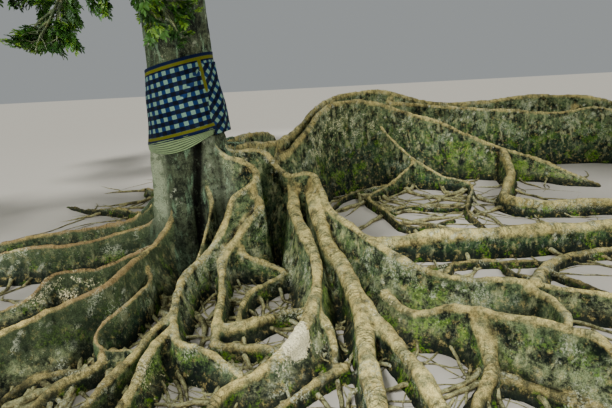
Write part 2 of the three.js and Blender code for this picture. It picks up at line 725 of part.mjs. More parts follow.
// A band of cloth round the trunk, between two heights above its slanting lower edge.
function clothBand(from, to, levels, thickness) {
  const outside = Array.from({ length: levels }, (_, i) => new THREE.Vector2(2, i / (levels - 1)));
  const inside = outside.map(({ y }) => new THREE.Vector2(1, 1 - y));
  const band = new THREE.LatheGeometry([...outside, ...inside, outside[0]], CLOTH.sides);
  const place = band.attributes.position;
  for (let i = 0; i < place.count; i++) {
    const layer = Math.round(Math.hypot(place.getX(i), place.getZ(i))) - 1;
    const bearing = Math.atan2(-place.getZ(i), place.getX(i));
    const height = CLOTH.lowEdge + CLOTH.rise * Math.cos(bearing) + lerp(from, to, place.getY(i));
    const overLobes = along(TRUNK.profile, height) * (1 + lobeDepth(height));
    const radius = overLobes + CLOTH.standOff + layer * thickness;
    const [x, y] = trunkMiddle(height);
    place.setXYZ(i, x + radius * Math.cos(bearing), y + radius * Math.sin(bearing), height);
  }
  return solidOf(band);
}

const clothLining = () => clothBand(-CLOTH.liningDrop, -GAP, 2, CLOTH.liningThickness);
const clothWrap = () => clothBand(0, CLOTH.height, CLOTH.levels, CLOTH.thickness);

function namedMesh(name, solid, finish) {
  const mesh = new THREE.Mesh(geometryOf(solid), new THREE.MeshStandardMaterial(finish));
  mesh.name = name;
  return mesh;
}

// The tree: each piece is cut clear of the ones made before it, so that nothing overlaps.
function banyanTree() {
  const tree = new THREE.Group();
  tree.name = "banyan_tree";
  const clearances = [trunkSolid(GAP)];
  tree.add(namedMesh("trunk", trunkSolid(0), COLOURS.bark));
  const cutClear = (solid) =>
    largestBody(clearances.reduce((rest, other) => rest.subtract(other), solid));

  for (const [name, limbs] of Object.entries(ROOTS)) {
    tree.add(namedMesh(name, cutClear(rootSolid(limbs, 0)), COLOURS.root));
    clearances.push(rootSolid(limbs, GAP));
  }
  tree.add(namedMesh("cloth_lining", cutClear(clothLining()), COLOURS.lining));
  tree.add(namedMesh("cloth_wrap", cutClear(clothWrap()), COLOURS.cloth));
  const limbs = crownLimbs();
  for (const limb of limbs) {
    tree.add(namedMesh(limb.name, cutClear(limbSolid(limb)), COLOURS.bark));
    clearances.push(limbSolid(limb, GAP));
  }
  const masses = crownMasses(limbs);
  for (const mass of masses) {
    tree.add(namedMesh(mass.name, cutClear(foliageSolid(mass, masses, limbs)), COLOURS.foliage));
  }
  return tree;
}

export default banyanTree();
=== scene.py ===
"""Banyan tree: living bark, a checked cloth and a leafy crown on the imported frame.

The roots and the trunk are lofted from the same walls and profile as the solids, joined into one
skin and given the relief of bark. The crown grows on from the limbs by the solids' rule, down to
fine twigs and sprays of leaves. Metres, +Z up. The origin is on the ground, under the trunk.
"""
import logging
import math
from dataclasses import dataclass
from enum import Enum
from typing import Callable, Iterable, NamedTuple, Sequence, Union

import bmesh
import bpy
import numpy as np
from bpy.types import ID, Material, Mesh, Node, NodeSocket, NodeTree, Object, bpy_prop_collection
from mathutils import Matrix, Vector
from mathutils.kdtree import KDTree


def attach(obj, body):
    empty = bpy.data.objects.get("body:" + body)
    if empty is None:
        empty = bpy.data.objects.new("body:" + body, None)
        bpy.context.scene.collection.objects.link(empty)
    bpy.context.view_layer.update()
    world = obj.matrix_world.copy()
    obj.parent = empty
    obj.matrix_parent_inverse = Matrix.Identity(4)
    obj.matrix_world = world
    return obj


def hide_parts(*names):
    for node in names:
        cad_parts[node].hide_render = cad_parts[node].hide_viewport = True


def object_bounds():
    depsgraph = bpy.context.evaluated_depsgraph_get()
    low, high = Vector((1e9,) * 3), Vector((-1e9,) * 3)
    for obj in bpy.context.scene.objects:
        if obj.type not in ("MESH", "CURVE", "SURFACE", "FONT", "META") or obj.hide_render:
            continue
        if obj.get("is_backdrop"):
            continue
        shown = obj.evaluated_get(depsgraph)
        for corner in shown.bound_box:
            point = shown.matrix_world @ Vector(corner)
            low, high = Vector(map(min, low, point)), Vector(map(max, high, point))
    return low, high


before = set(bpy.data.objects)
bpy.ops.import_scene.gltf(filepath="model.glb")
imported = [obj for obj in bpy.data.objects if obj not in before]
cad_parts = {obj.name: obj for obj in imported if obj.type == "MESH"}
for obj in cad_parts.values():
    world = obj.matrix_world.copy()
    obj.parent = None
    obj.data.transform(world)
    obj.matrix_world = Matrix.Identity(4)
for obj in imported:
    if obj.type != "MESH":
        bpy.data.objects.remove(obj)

log = logging.getLogger("banyan")

Array = np.ndarray
Random = np.random.Generator
Colour = tuple[float, float, float, float]
Pair = tuple[float, float]
Pairs = tuple[Pair, ...]
Triple = tuple[float, float, float]
Spots = tuple[tuple[float, float, float, float], ...]
norm = np.linalg.norm
BODY = "root"
TURN = 2 * math.pi
UP = np.array([0.0, 0.0, 1.0])


def rgb(code: int) -> Colour:
    """Linear colour of a display colour written as 0xRRGGBB."""
    parts = [(code >> shift & 255) / 255 for shift in (16, 8, 0)]
    return (*[c / 12.92 if c < 0.04045 else ((c + 0.055) / 1.055) ** 2.4 for c in parts], 1.0)


def ease(x: Array, low: float, high: float) -> Array:
    """Smooth step from 0 at low to 1 at high."""
    t = np.clip((x - low) / (high - low), 0, 1)
    return t * t * (3 - 2 * t)


def unit(vectors: Array) -> Array:
    """The vectors at length one."""
    return vectors / np.maximum(norm(vectors, axis=-1, keepdims=True), 1e-9)


def turn_from(middle: float | Array, bearing: Array) -> Array:
    """How far a bearing is turned from another one, from minus pi to pi."""
    return np.arctan2(np.sin(bearing - middle), np.cos(bearing - middle))


def along(stations: Sequence[Pair], x: Array) -> Array:
    """Value at x on a list of (x, value) stations, eased between them.

    Args:
        stations: places and values, in rising order of place.
        x: where to read the values.

    Returns:
        One value for each place.
    """
    places = np.array([place for place, _ in stations])
    values = np.array([value for _, value in stations])
    x = np.clip(np.asarray(x, float), places[0], places[-1])
    at = np.clip(np.searchsorted(places, x) - 1, 0, len(places) - 2)
    share = ease((x - places[at]) / (places[at + 1] - places[at]), 0, 1)
    return values[at] + share * (values[at + 1] - values[at])


def curve_through(points: Sequence[Sequence[float]], step: float) -> Array:
    """Points along a smooth centripetal curve through the given ones.

    Args:
        points: the places that the curve passes.
        step: about how far apart the new points are.

    Returns:
        An array of points from the first place to the last.
    """
    p = np.asarray(points, float)
    p = np.vstack([2 * p[0] - p[1], p, 2 * p[-1] - p[-2]])
    parts = []
    for i in range(1, len(p) - 2):
        d0, d1, d2 = (max(norm(p[i + k] - p[i + k - 1]), 1e-6) ** 0.5 for k in range(3))
        t1 = (p[i] - p[i - 1]) / d0 - (p[i + 1] - p[i - 1]) / (d0 + d1) + (p[i + 1] - p[i]) / d1
        t2 = (p[i + 1] - p[i]) / d1 - (p[i + 2] - p[i]) / (d1 + d2) + (p[i + 2] - p[i + 1]) / d2
        t1, t2 = t1 * d1, t2 * d1
        count = max(2, round(norm(p[i + 1] - p[i]) / step))
        t = (np.arange(count) / count)[:, None]
        bend = -3 * p[i] + 3 * p[i + 1] - 2 * t1 - t2
        parts.append(p[i] + t1 * t + bend * t**2 + (2 * p[i] - 2 * p[i + 1] + t1 + t2) * t**3)
    return np.vstack([*parts, p[-2]])


class Output:
    """What comes out of a node. Numbers take the usual sums."""

    def __init__(self, graph: "Graph", socket: NodeSocket) -> None:
        """Keeps the graph and the socket."""
        self.graph = graph
        self.socket = socket

    def __add__(self, other: "Value") -> "Output":
        """Sum."""
        return self.graph.math("ADD", self, other)

    def __sub__(self, other: "Value") -> "Output":
        """Difference."""
        return self.graph.math("SUBTRACT", self, other)

    def __rsub__(self, other: "Value") -> "Output":
        """Difference from a plain number."""
        return self.graph.math("SUBTRACT", other, self)

    def __mul__(self, other: "Value") -> "Output":
        """Product."""
        return self.graph.math("MULTIPLY", self, other)

    __radd__ = __add__
    __rmul__ = __mul__

    def between(self, low: float, high: float) -> "Output":
        """Smooth step from 0 at low to 1 at high."""
        inputs = {0: self, 1: low, 2: high}
        return self.graph.out("ShaderNodeMapRange", inputs, interpolation_type="SMOOTHSTEP")


Value = Union[Output, NodeSocket, float, tuple]


class Graph:
    """Adds and links the nodes of one shader or geometry tree."""

    def __init__(self, tree: NodeTree) -> None:
        """Starts on a tree."""
        self.tree = tree

    def add(self, kind: str, inputs: dict | None = None, **settings: object) -> Node:
        """Adds a node.

        Args:
            kind: the node's type.
            inputs: values or sockets for its inputs, by name or number.
            settings: the node's own settings.

        Returns:
            The new node.
        """
        node = self.tree.nodes.new(kind)
        for name, value in settings.items():
            setattr(node, name, value)
        for key, value in (inputs or {}).items():
            self.feed(node.inputs[key], value)
        return node

    def feed(self, socket: NodeSocket, value: Value) -> None:
        """Links an output to an input, or sets the input's value.

        Args:
            socket: the input.
            value: an output, a socket or a plain value.
        """
        value = value.socket if isinstance(value, Output) else value
        if isinstance(value, NodeSocket):
            self.tree.links.new(value, socket)
        else:
            socket.default_value = value

    def out(self, kind: str, inputs: dict | None = None, **settings: object) -> Output:
        """Adds a node and gives its first output."""
        return Output(self, self.add(kind, inputs, **settings).outputs[0])

    def math(self, how: str, a: Value, b: Value = 0.0) -> Output:
        """One sum on two numbers."""
        return self.out("ShaderNodeMath", {0: a, 1: b}, operation=how)

    def noise(self, vector: Value, scale: float, detail: float = 4, rough: float = 0.6) -> Output:
        """Soft noise from 0 to 1."""
        inputs = {"Vector": vector, "Scale": scale, "Detail": detail, "Roughness": rough}
        return self.out("ShaderNodeTexNoise", inputs)

    def stretched(self, vector: Value, scale: Triple) -> Output:
        """A vector scaled by a different number on each axis."""
        return self.out("ShaderNodeVectorMath", {0: vector, 1: scale}, operation="MULTIPLY")


class ShaderGraph(Graph):
    """A material's nodes, with a colour that is painted over and bumps that add up."""

    def __init__(self, name: str, colour: Value | int = 0) -> None:
        """Makes the material and its shader, with a first colour.

        Args:
            name: the material's name.
            colour: its first colour.
        """
        self.material = bpy.data.materials.new(name)
        self.material.use_nodes = True
        super().__init__(self.material.node_tree)
        self.shader = self.tree.nodes["Principled BSDF"]
        self.place = self.add("ShaderNodeTexCoord").outputs["Object"]
        self.colour = self.hue(colour)
        self.normal = None

    @staticmethod
    def hue(colour: Value | int) -> Value:
        """A colour, which may be given as a display colour written as 0xRRGGBB."""
        return rgb(colour) if isinstance(colour, int) else colour

    def attribute(self, name: str) -> Output:
        """A number stored on the mesh."""
        return Output(self, self.add("ShaderNodeAttribute", attribute_name=name).outputs["Fac"])

    def split(self, vector: Value) -> list[Output]:
        """The three numbers of a vector."""
        return [Output(self, part) for part in self.add("ShaderNodeSeparateXYZ", {0: vector}).outputs]

    def cells(self, vector: Value, scale: float) -> Output:
        """Distance to the nearest of scattered points."""
        return self.out("ShaderNodeTexVoronoi", {"Vector": vector, "Scale": scale})

    def mixed(self, share: Value, a: Value | int, b: Value | int) -> Output:
        """Two colours mixed by a share."""
        inputs = {0: share, 6: self.hue(a), 7: self.hue(b)}
        return Output(self, self.add("ShaderNodeMix", inputs, data_type="RGBA").outputs[2])

    def paint(self, colour: Value | int, share: Value) -> None:
        """Lays a colour over the colour so far."""
        self.colour = self.mixed(share, self.colour, colour)

    def emboss(self, height: Value, depth: float, strength: float) -> None:
        """Lays a bump of a real depth over the bumps so far.

        Args:
            height: from 0 to 1.
            depth: in metres.
            strength: from 0 to 1.
        """
        inputs = {"Height": height, "Distance": depth, "Strength": strength}
        if self.normal is not None:
            inputs["Normal"] = self.normal
        self.normal = self.out("ShaderNodeBump", inputs)

    def finish(self, roughness: Value, specular: float) -> Material:
        """Feeds the shader and gives the material.

        Args:
            roughness: from 0 to 1.
            specular: the strength of reflections.

        Returns:
            The material.
        """
        shade = self.shader.inputs
        self.feed(shade["Base Color"], self.colour)
        self.feed(shade["Roughness"], roughness)
        self.feed(shade["Specular IOR Level"], specular)
        if self.normal is not None:
            self.feed(shade["Normal"], self.normal)
        return self.material


@dataclass(frozen=True)
class BarkFinish:
    """Smooth fig bark: grey-green walls, pale rims, partly worn and partly a painted highlight, moss, lichen,
    and painted shade in the dark hollows.
    """

    name: str
    wall: int = 0x38543C
    dark: int = 0x0B1510
    # Pale: streaks, and painted light on faces that point up.
    pale: int = 0xC4C892
    # Tan: painted light on the upper flanks.
    tan: int = 0x7C8E60
    # Rim: partly worn pale bark, partly a painted highlight.
    rim: int = 0xFFE68E
    shaded: int = 0x756F4A
    worn: int = 0xA88C5C
    olive: int = 0x44543A
    fern: int = 0x2A4408
    moss: int = 0x6A9414
    lichen: int = 0xC8CEB0
    patch: int = 0xFFF6C6
    smooth: int = 0xBCC8A2
    # Near black: painted shade in the hollows, and dirt at the feet.
    shade_and_soil: int = 0x100C06
    moss_share: float = 0.25
    rim_share: float = 0.62
    ring_depth: float = 0.004
    ring_pitch: float = 0.042
    stain: float = 0.85
    streak: float = 5.0

    def material(self) -> Material:
        """The bark's material, on Object coordinates and the skin's own attributes.

        Returns:
            The material.
        """
        g = BarkGraph(self.name)
        self.lay_walls(g)
        self.lay_rims(g)
        self.lay_spots_dirt_and_shade(g)
        self.lay_growths(g)
        self.lay_relief(g)
        rough = g.out("ShaderNodeMapRange", {0: g.fine, 3: 0.72, 4: 0.95})
        return g.finish(rough, 0.12)

    def lay_walls(self, g: "BarkGraph") -> None:
        """Mottled walls, lighter towards the rim by painted light, with pale and dark streaks and moss.

        Args:
            g: the bark's nodes.
        """
        # Painted light: the upper flank near the rim is mixed towards tan, as if lit from above.
        high = (g.fall + (g.middle - 0.5) * 0.9).between(0.6, 0.05)
        flank = g.mixed(g.left, self.wall, self.olive)
        g.colour = g.mixed(high, flank, g.mixed(g.left * 0.6, self.tan, self.olive))
        g.paint(self.dark, 1 - g.mottle)
        streaks = g.noise(g.stretched(g.place, (self.streak, self.streak, 1.8)), 2.2, 5, 0.65)
        g.emboss(streaks, 0.03, 0.6)
        g.paint(self.pale, streaks.between(0.52, 0.66) * 0.6 * g.wall * g.calm)
        g.paint(self.dark, streaks.between(0.45, 0.3) * 0.75 * g.wall)
        green = g.broad.between(0.44, 0.56) * (g.fine * 0.35 + g.middle).between(0.6, 0.74)
        growth = g.math("MAXIMUM", g.attribute("moss"), self.moss_share)
        shade = g.mixed(g.fine.between(0.35, 0.62), self.fern, self.moss)
        g.paint(shade, green * g.wall * g.calm * growth * g.fall.between(0.05, 0.35))

    def lay_rims(self, g: "BarkGraph") -> None:
        """Painted light on faces that point up, and rims partly worn pale by feet and rain and partly a
        painted highlight.

        Args:
            g: the bark's nodes.
        """
        face = g.add("ShaderNodeNewGeometry").outputs["Normal"]
        # Painted light: faces that point up are mixed towards pale, as if lit from above.
        painted_top_light = g.split(face)[2].between(0.1, 0.95)
        g.paint(self.pale, painted_top_light * (g.middle + g.fine).between(0.75, 1.15) * 0.7 * g.calm)
        sunned = g.noise(g.place, 8.0, 5, 0.75).between(0.36, 0.62)
        edge = g.mixed(sunned, self.shaded, self.rim)
        edge = g.mixed(g.left * g.broad.between(0.36, 0.5), edge, self.worn)
        # The rims are partly worn pale bark and partly a painted highlight.
        worn_and_highlit = (g.rim * 0.7 + g.middle * 0.6).between(0.62, 0.98)
        g.paint(edge, worn_and_highlit * (g.left * 0.3 + self.rim_share))

    def lay_spots_dirt_and_shade(self, g: "BarkGraph") -> None:
        """Lichen dots, smooth columns, dirt at the feet, dark blotches, and painted shade in the hollows and
        low on the flanks.

        Args:
            g: the bark's nodes.
        """
        warped = g.out("ShaderNodeVectorMath", {0: g.place, 1: g.stretched(g.fine, (0.16, 0.16, 0.16))})
        spots = g.cells(warped, 9.0).between(0.34, 0.16)
        spots = spots * g.noise(g.place, 2.1, 3).between(0.53, 0.6) * g.fine.between(0.3, 0.6)
        g.paint(self.lichen, spots)
        g.paint(self.lichen, g.cells(g.place, 38.0).between(0.2, 0.08) * g.broad.between(0.4, 0.6) * 0.6)
        g.paint(self.smooth, g.attribute("smooth") * g.mottle.between(1.4, 0.2))
        # Painted shade: hollows and the trunk's deep groove are mixed almost to black.
        g.paint(self.shade_and_soil, g.attribute("hollow").between(0.1, 0.8) * 0.93)
        # Dirt darkens the feet near the ground.
        g.paint(self.shade_and_soil, (g.low - g.middle * 0.24).between(0.06, -0.08) * self.stain)
        # Painted shade: the flanks darken below the rim, more so on the left side.
        g.paint(self.dark, g.fall.between(0.35, 1.0) * 0.78)
        g.paint(self.dark, g.fall.between(0.1, 0.9) * g.left * 0.8)
        g.paint(self.dark, g.blotch.between(0.5, 0.36) * (0.75 - g.rim * 0.25) * g.calm)
        g.paint(self.rim, g.blotch.between(0.53, 0.68) * 0.3 * g.calm)

    def lay_growths(self, g: "BarkGraph") -> None:
        """Tufts of moss, fields of crumbled lichen and the marked patches of crust.

        Args:
            g: the bark's nodes.
        """
        tufts = g.noise(g.place, 4.0, 4).between(0.54, 0.62) * g.fine.between(0.42, 0.6)
        g.paint(self.moss, tufts * g.fall.between(0.1, 0.5) * g.calm * (2.6 * self.moss_share))
        crumbs = g.noise(g.place, 55.0, 3, 0.7).between(0.5, 0.57)
        field = g.noise(g.place, 1.9, 3).between(0.52, 0.6) * g.fall.between(0.8, 0.3) * crumbs
        g.paint(self.lichen, field * g.middle.between(0.42, 0.56) * (3 * self.moss_share))
        patch = g.attribute("patch")
        ragged = patch + (g.middle - 0.5) * 2 + g.fine * 1.1 - 0.55
        whole = g.math("MAXIMUM", patch.between(0.45, 0.7), crumbs)
        g.paint(self.patch, ragged.between(0.5, 0.56) * g.blotch.between(0.3, 0.45) * whole)

    def lay_relief(self, g: "BarkGraph") -> None:
        """Grit, fine bumps, and the rings round the rims.

        Args:
            g: the bark's nodes.
        """
        g.paint(self.dark, g.grit.between(0.6, 0.38) * 0.55)
        turn = g.attribute("run") * (TURN / self.ring_pitch) + g.middle * 14
        rings = g.math("SINE", turn) * g.rim * g.noise(g.place, 3.0, 2).between(0.4, 0.6)
        g.paint(self.dark, rings.between(0.45, 0.98) * 0.6)
        g.emboss(rings, self.ring_depth, 0.7)
        g.emboss(g.middle, 0.05, 0.6)
        g.emboss(g.fine, 0.012, 0.7)
        g.emboss(g.grit, 0.003, 0.6)


class BarkGraph(ShaderGraph):
    """A bark's nodes, with the noises and the stored numbers that its layers share."""

    def __init__(self, name: str) -> None:
        """Makes what the layers share.

        Args:
            name: the material's name.
        """
        super().__init__(name)
        self.broad = self.noise(self.place, 1.3, 3)
        self.middle = self.noise(self.place, 6.0, 5)
        self.blotch = self.noise(self.place, 17.0, 5, 0.75)
        self.fine = self.noise(self.place, 42.0, 5, 0.7)
        self.grit = self.noise(self.place, 130.0, 3, 0.7)
        side, _, self.low = self.split(self.place)
        self.left = side.between(0.15, -0.45) * self.low.between(0.12, 0.26)
        self.calm = 1 - self.left * 0.6
        self.fall = self.attribute("fall")
        self.rim = self.attribute("rim")
        self.wall = 1 - self.rim
        mottle = (self.middle + self.fine * 0.5).between(0.6, 0.88)
        self.mottle = self.math("MAXIMUM", mottle, self.left * 0.6)


@dataclass(frozen=True)
class CheckedCloth:
    """Cotton woven in indigo and cream checks, with mustard bands inside its dark edges."""

    name: str = "checked_cotton"
    pitch: float = 0.104
    cream: int = 0x6C8C7A
    blue: int = 0x082850
    night: int = 0x031230
    black: int = 0x020816
    mustard: int = 0x5A5C10
    dust: int = 0x5E6A5A
    thread: float = 0.0024
    edge: float = 0.038
    band: float = 0.037
    hem: float = 0.05
    hem_from: float = 0.5
    soft: float = 0.002

    def material(self, height: float) -> Material:
        """The weave on the piece's own UV maps, in metres, for a cloth of some height.

        Args:
            height: the cloth's height.

        Returns:
            The material.
        """
        g = ShaderGraph(self.name)
        uv = g.out("ShaderNodeUVMap", uv_map="cloth")
        across, up, _ = g.split(uv)
        side, rise, _ = g.split(g.out("ShaderNodeUVMap", uv_map="border"))
        wavy = (g.noise(uv, 9.0, 3) - 0.5) * 0.016
        warp, weft = (
            g.math("PINGPONG", (value + wavy) * (1 / self.pitch), 0.5).between(0.245, 0.275)
            for value in (across, up)
        )
        light = g.mixed(warp, self.blue, self.cream)
        g.colour = g.mixed(weft, g.mixed(warp, self.black, self.night), light)
        turned_in = rise.between(height * self.hem_from - 0.01, height * self.hem_from + 0.01)
        near = g.math("MINIMUM", rise, height - rise)
        g.paint(self.mustard, side.between(self.hem + self.soft, self.hem - self.soft) * turned_in)
        for colour, reach in ((self.mustard, self.edge + self.band), (self.night, self.edge)):
            g.paint(colour, near.between(reach + self.soft, reach - self.soft))
        g.paint(self.dust, g.noise(g.place, 5.0, 4).between(0.4, 0.75) * 0.06)
        threads = [g.math("SINE", value * (TURN / self.thread)) for value in (across, up)]
        weave = threads[0] * threads[1]
        g.paint(0x000000, weave.between(0.0, 1.0) * 0.35)
        g.emboss(weave, 0.0008, 0.35)
        g.emboss(g.noise(g.place, 30.0, 4), 0.004, 0.4)
        return g.finish(0.95, 0.15)


@dataclass(frozen=True)
class LiningCloth:
    """Thin pale cotton under the checked cloth, with painted light and shade along its pleats, and stained in
    patches.
    """

    name: str = "pale_cotton"
    pale: int = 0x7A9060
    shade: int = 0x141E0C
    stain: int = 0x5B6340

    def material(self) -> Material:
        """The lining's material.

        Returns:
            The material.
        """
        g = ShaderGraph(self.name)
        uv = g.out("ShaderNodeUVMap", uv_map="cloth")
        stain = g.noise(g.place, 8.0, 4)
        # Painted light and shade: pleat crests are mixed towards pale, the folds between them towards shade.
        lit = (g.attribute("pleat") + (stain - 0.5) * 0.7).between(0.15, 0.75)
        g.colour = g.mixed(lit, self.shade, self.pale)
        g.paint(self.stain, stain.between(0.5, 0.75) * 0.4)
        g.emboss(g.noise(g.stretched(uv, (2.0, 45.0, 1.0)), 1.0, 3), 0.006, 0.6)
        g.emboss(g.noise(g.place, 400.0, 2), 0.0008, 0.4)
        g.feed(g.shader.inputs["Sheen Weight"], 0.2)
        return g.finish(0.93, 0.5)


@dataclass(frozen=True)
class LeafFinish:
    """A waxy fig leaf in one plain green."""

    name: str
    green: int

    def material(self) -> Material:
        """The leaf's material."""
        return ShaderGraph(self.name, self.green).finish(0.42, 0.4)


class LeafTone(Enum):
    """The greens that the sprays are dealt."""

    DEEP = LeafFinish("leaf_deep_green", 0x28481C)
    MIDDLE = LeafFinish("leaf_middle_green", 0x3F6A24)
    FRESH = LeafFinish("leaf_fresh_green", 0x6C922C)


def numbers_of(data: bpy_prop_collection, what: str, kind: type, width: int = 1) -> Array:
    """What every element of a mesh's data holds.

    Args:
        data: the mesh's vertices, edges, loops or the like.
        what: the property's name.
        kind: the numbers' type.
        width: how many numbers an element has.

    Returns:
        One row for each element.
    """
    flat = np.empty(len(data) * width, kind)
    data.foreach_get(what, flat)
    return flat.reshape(-1, width)


def triangles_of(mesh: Mesh) -> Array:
    """The mesh's triangles, as three vertex numbers to a row."""
    mesh.calc_loop_triangles()
    return numbers_of(mesh.loop_triangles, "vertices", np.int32, 3)


def places_of(mesh: Mesh) -> Array:
    """The mesh's vertex places."""
    return numbers_of(mesh.vertices, "co", np.float32, 3).astype(float)


def normals_of(mesh: Mesh) -> Array:
    """The mesh's vertex normals."""
    return numbers_of(mesh.vertex_normals, "vector", np.float32, 3).astype(float)


def mesh_of(
    name: str, places: Array, faces: Sequence[Sequence[int]] = (), edges: Sequence[Sequence[int]] = ()
) -> Mesh:
    """A smooth mesh.

    Args:
        name: the mesh's name.
        places: vertex places, one row each.
        faces: the vertex numbers of each face.
        edges: the vertex numbers of each edge, where there are no faces.

    Returns:
        The mesh.
    """
    mesh = bpy.data.meshes.new(name)
    mesh.from_pydata(places, edges, faces, shade_flat=False)
    return mesh


def store(mesh: Mesh, name: str, values: Array, kind: str = "FLOAT") -> None:
    """Stores one value for each vertex of a mesh.

    Args:
        mesh: the mesh.
        name: the attribute's name.
        values: one for each vertex.
        kind: its data type.
    """
    data = mesh.attributes.new(name, kind, "POINT").data
    what = "vector" if kind == "FLOAT_VECTOR" else "value"
    data.foreach_set(what, np.asarray(values, np.int32 if kind == "INT" else np.float32).ravel())


def placed(name: str, data: ID) -> Object:
    """An object at the origin that shows a mesh, or is a light or a camera.

    Args:
        name: the piece's name.
        data: what it shows.

    Returns:
        The object.
    """
    piece = bpy.data.objects.new(name, data)
    bpy.context.scene.collection.objects.link(piece)
    return piece


def lines_of(name: str, paths: Sequence[Array], girths: Sequence[Array]) -> Object:
    """An object of lines made of edges, with a girth stored at each point.

    Args:
        name: the object's name.
        paths: the points of each line.
        girths: a girth for each point of each line.

    Returns:
        The object.
    """
    places = np.vstack(paths)
    first = np.delete(np.arange(len(places)), np.cumsum([len(path) for path in paths]) - 1)
    mesh = mesh_of(name, places, edges=np.stack([first, first + 1], -1))
    store(mesh, "girth", np.concatenate(girths))
    return placed(name, mesh)


def baked(piece: Object, name: str) -> Mesh:
    """The piece's mesh with its modifiers applied. The piece itself is removed.

    Args:
        piece: an object with modifiers.
        name: the new mesh's name.

    Returns:
        The mesh.
    """
    seen = piece.evaluated_get(bpy.context.evaluated_depsgraph_get())
    mesh = bpy.data.meshes.new_from_object(seen)
    mesh.name = name
    bpy.data.objects.remove(piece)
    return mesh


def handed_in(piece: Object, slot: str, *nodes: str) -> None:
    """Declares a finished piece to the frame and logs it.

    Args:
        piece: the finished object.
        slot: not used.
        nodes: the solids that the piece stands for.
    """
    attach(piece, BODY)
    if nodes:
        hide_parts(*nodes)
    log.info("%s: %d faces", piece.name, len(piece.data.polygons))


class Shell(NamedTuple):
    """A closed skin of rings, with a flat cap at each end."""

    rings: Array

    def arrays(self, first: int) -> tuple[Array, list[list[int]]]:
        """The shell's places and faces.

        Args:
            first: number of the shell's first vertex.

        Returns:
            Places, and faces as lists of vertex numbers.
        """
        count, sides = self.rings.shape[:2]
        number = first + np.arange(count * sides).reshape(count, sides)
        after = np.roll(number, -1, axis=1)
        walls = np.stack([number[:-1], after[:-1], after[1:], number[1:]], -1).reshape(-1, 4)
        caps = [number[0][::-1].tolist(), number[-1].tolist()]
        return self.rings.reshape(-1, 3), walls.tolist() + caps


def joined(name: str, shells: Iterable[Shell]) -> Object:
    """One object that holds several overlapping shells.

    Args:
        name: the piece's name.
        shells: the shells.

    Returns:
        The object.
    """
    places: list[Array] = []
    faces: list[list[int]] = []
    count = 0
    for shell in shells:
        points, walls = shell.arrays(count)
        places.append(points)
        faces += walls
        count += len(points)
    return placed(name, mesh_of(name, np.vstack(places), faces))


class GeometryGraph(Graph):
    """A Geometry Nodes tree with named inputs, run once on a piece."""

    def __init__(self, name: str, sizes: dict[str, float]) -> None:
        """Makes the tree.

        Args:
            name: the tree's name.
            sizes: named inputs and their values.
        """
        super().__init__(bpy.data.node_groups.new(name, "GeometryNodeTree"))
        face = self.tree.interface
        face.new_socket("Geometry", in_out="INPUT", socket_type="NodeSocketGeometry")
        face.new_socket("Geometry", in_out="OUTPUT", socket_type="NodeSocketGeometry")
        self.sizes = sizes
        self.identifiers = {}
        for size in sizes:
            socket = face.new_socket(size, in_out="INPUT", socket_type="NodeSocketFloat")
            self.identifiers[size] = socket.identifier
        self.inputs = self.add("NodeGroupInput").outputs

    def attribute(self, name: str, kind: str = "FLOAT") -> Output:
        """A value stored on the geometry."""
        node = self.add("GeometryNodeInputNamedAttribute", {"Name": name}, data_type=kind)
        return Output(self, node.outputs["Attribute"])

    def end(self, geometry: Value, materials: dict[int, Material]) -> None:
        """Ends the tree in Realize Instances and Set Material.

        Args:
            geometry: what the tree has made.
            materials: the material of each tone. A single one covers everything.
        """
        geometry = self.out("GeometryNodeRealizeInstances", {0: geometry})
        for tone, material in materials.items():
            inputs = {"Geometry": geometry, "Material": material}
            if len(materials) > 1:
                close = {"A": self.attribute("tone"), "B": float(tone), "Epsilon": 0.5}
                inputs["Selection"] = self.out(
                    "FunctionNodeCompare", close, operation="EQUAL", data_type="FLOAT"
                )
            geometry = self.out("GeometryNodeSetMaterial", inputs)
        self.add("NodeGroupOutput", {0: geometry})

    def put_on(self, piece: Object) -> None:
        """Adds the tree to a piece and sets its inputs by identifier.

        Args:
            piece: the piece.
        """
        modifier = piece.modifiers.new(self.tree.name, "NODES")
        modifier.node_group = self.tree
        for size, value in self.sizes.items():
            modifier[self.identifiers[size]] = value


def tube_tree(name: str, material: Material, sides: int) -> GeometryGraph:
    """A tree that makes a tube of every edge, as thick as its stored girth.

    Args:
        name: the tree's name.
        material: the tubes' material.
        sides: how many sides a tube has.

    Returns:
        The tree.
    """
    g = GeometryGraph(name, {"Profile radius": 1.0})
    curve = g.out("GeometryNodeMeshToCurve", {"Mesh": g.inputs["Geometry"]})
    inputs = {"Resolution": sides, "Radius": g.inputs["Profile radius"]}
    ring = g.out("GeometryNodeCurvePrimitiveCircle", inputs)
    girth = g.attribute("girth")
    inputs = {"Curve": curve, "Profile Curve": ring, "Scale": girth, "Fill Caps": True}
    g.end(g.out("GeometryNodeCurveToMesh", inputs), {0: material})
    return g


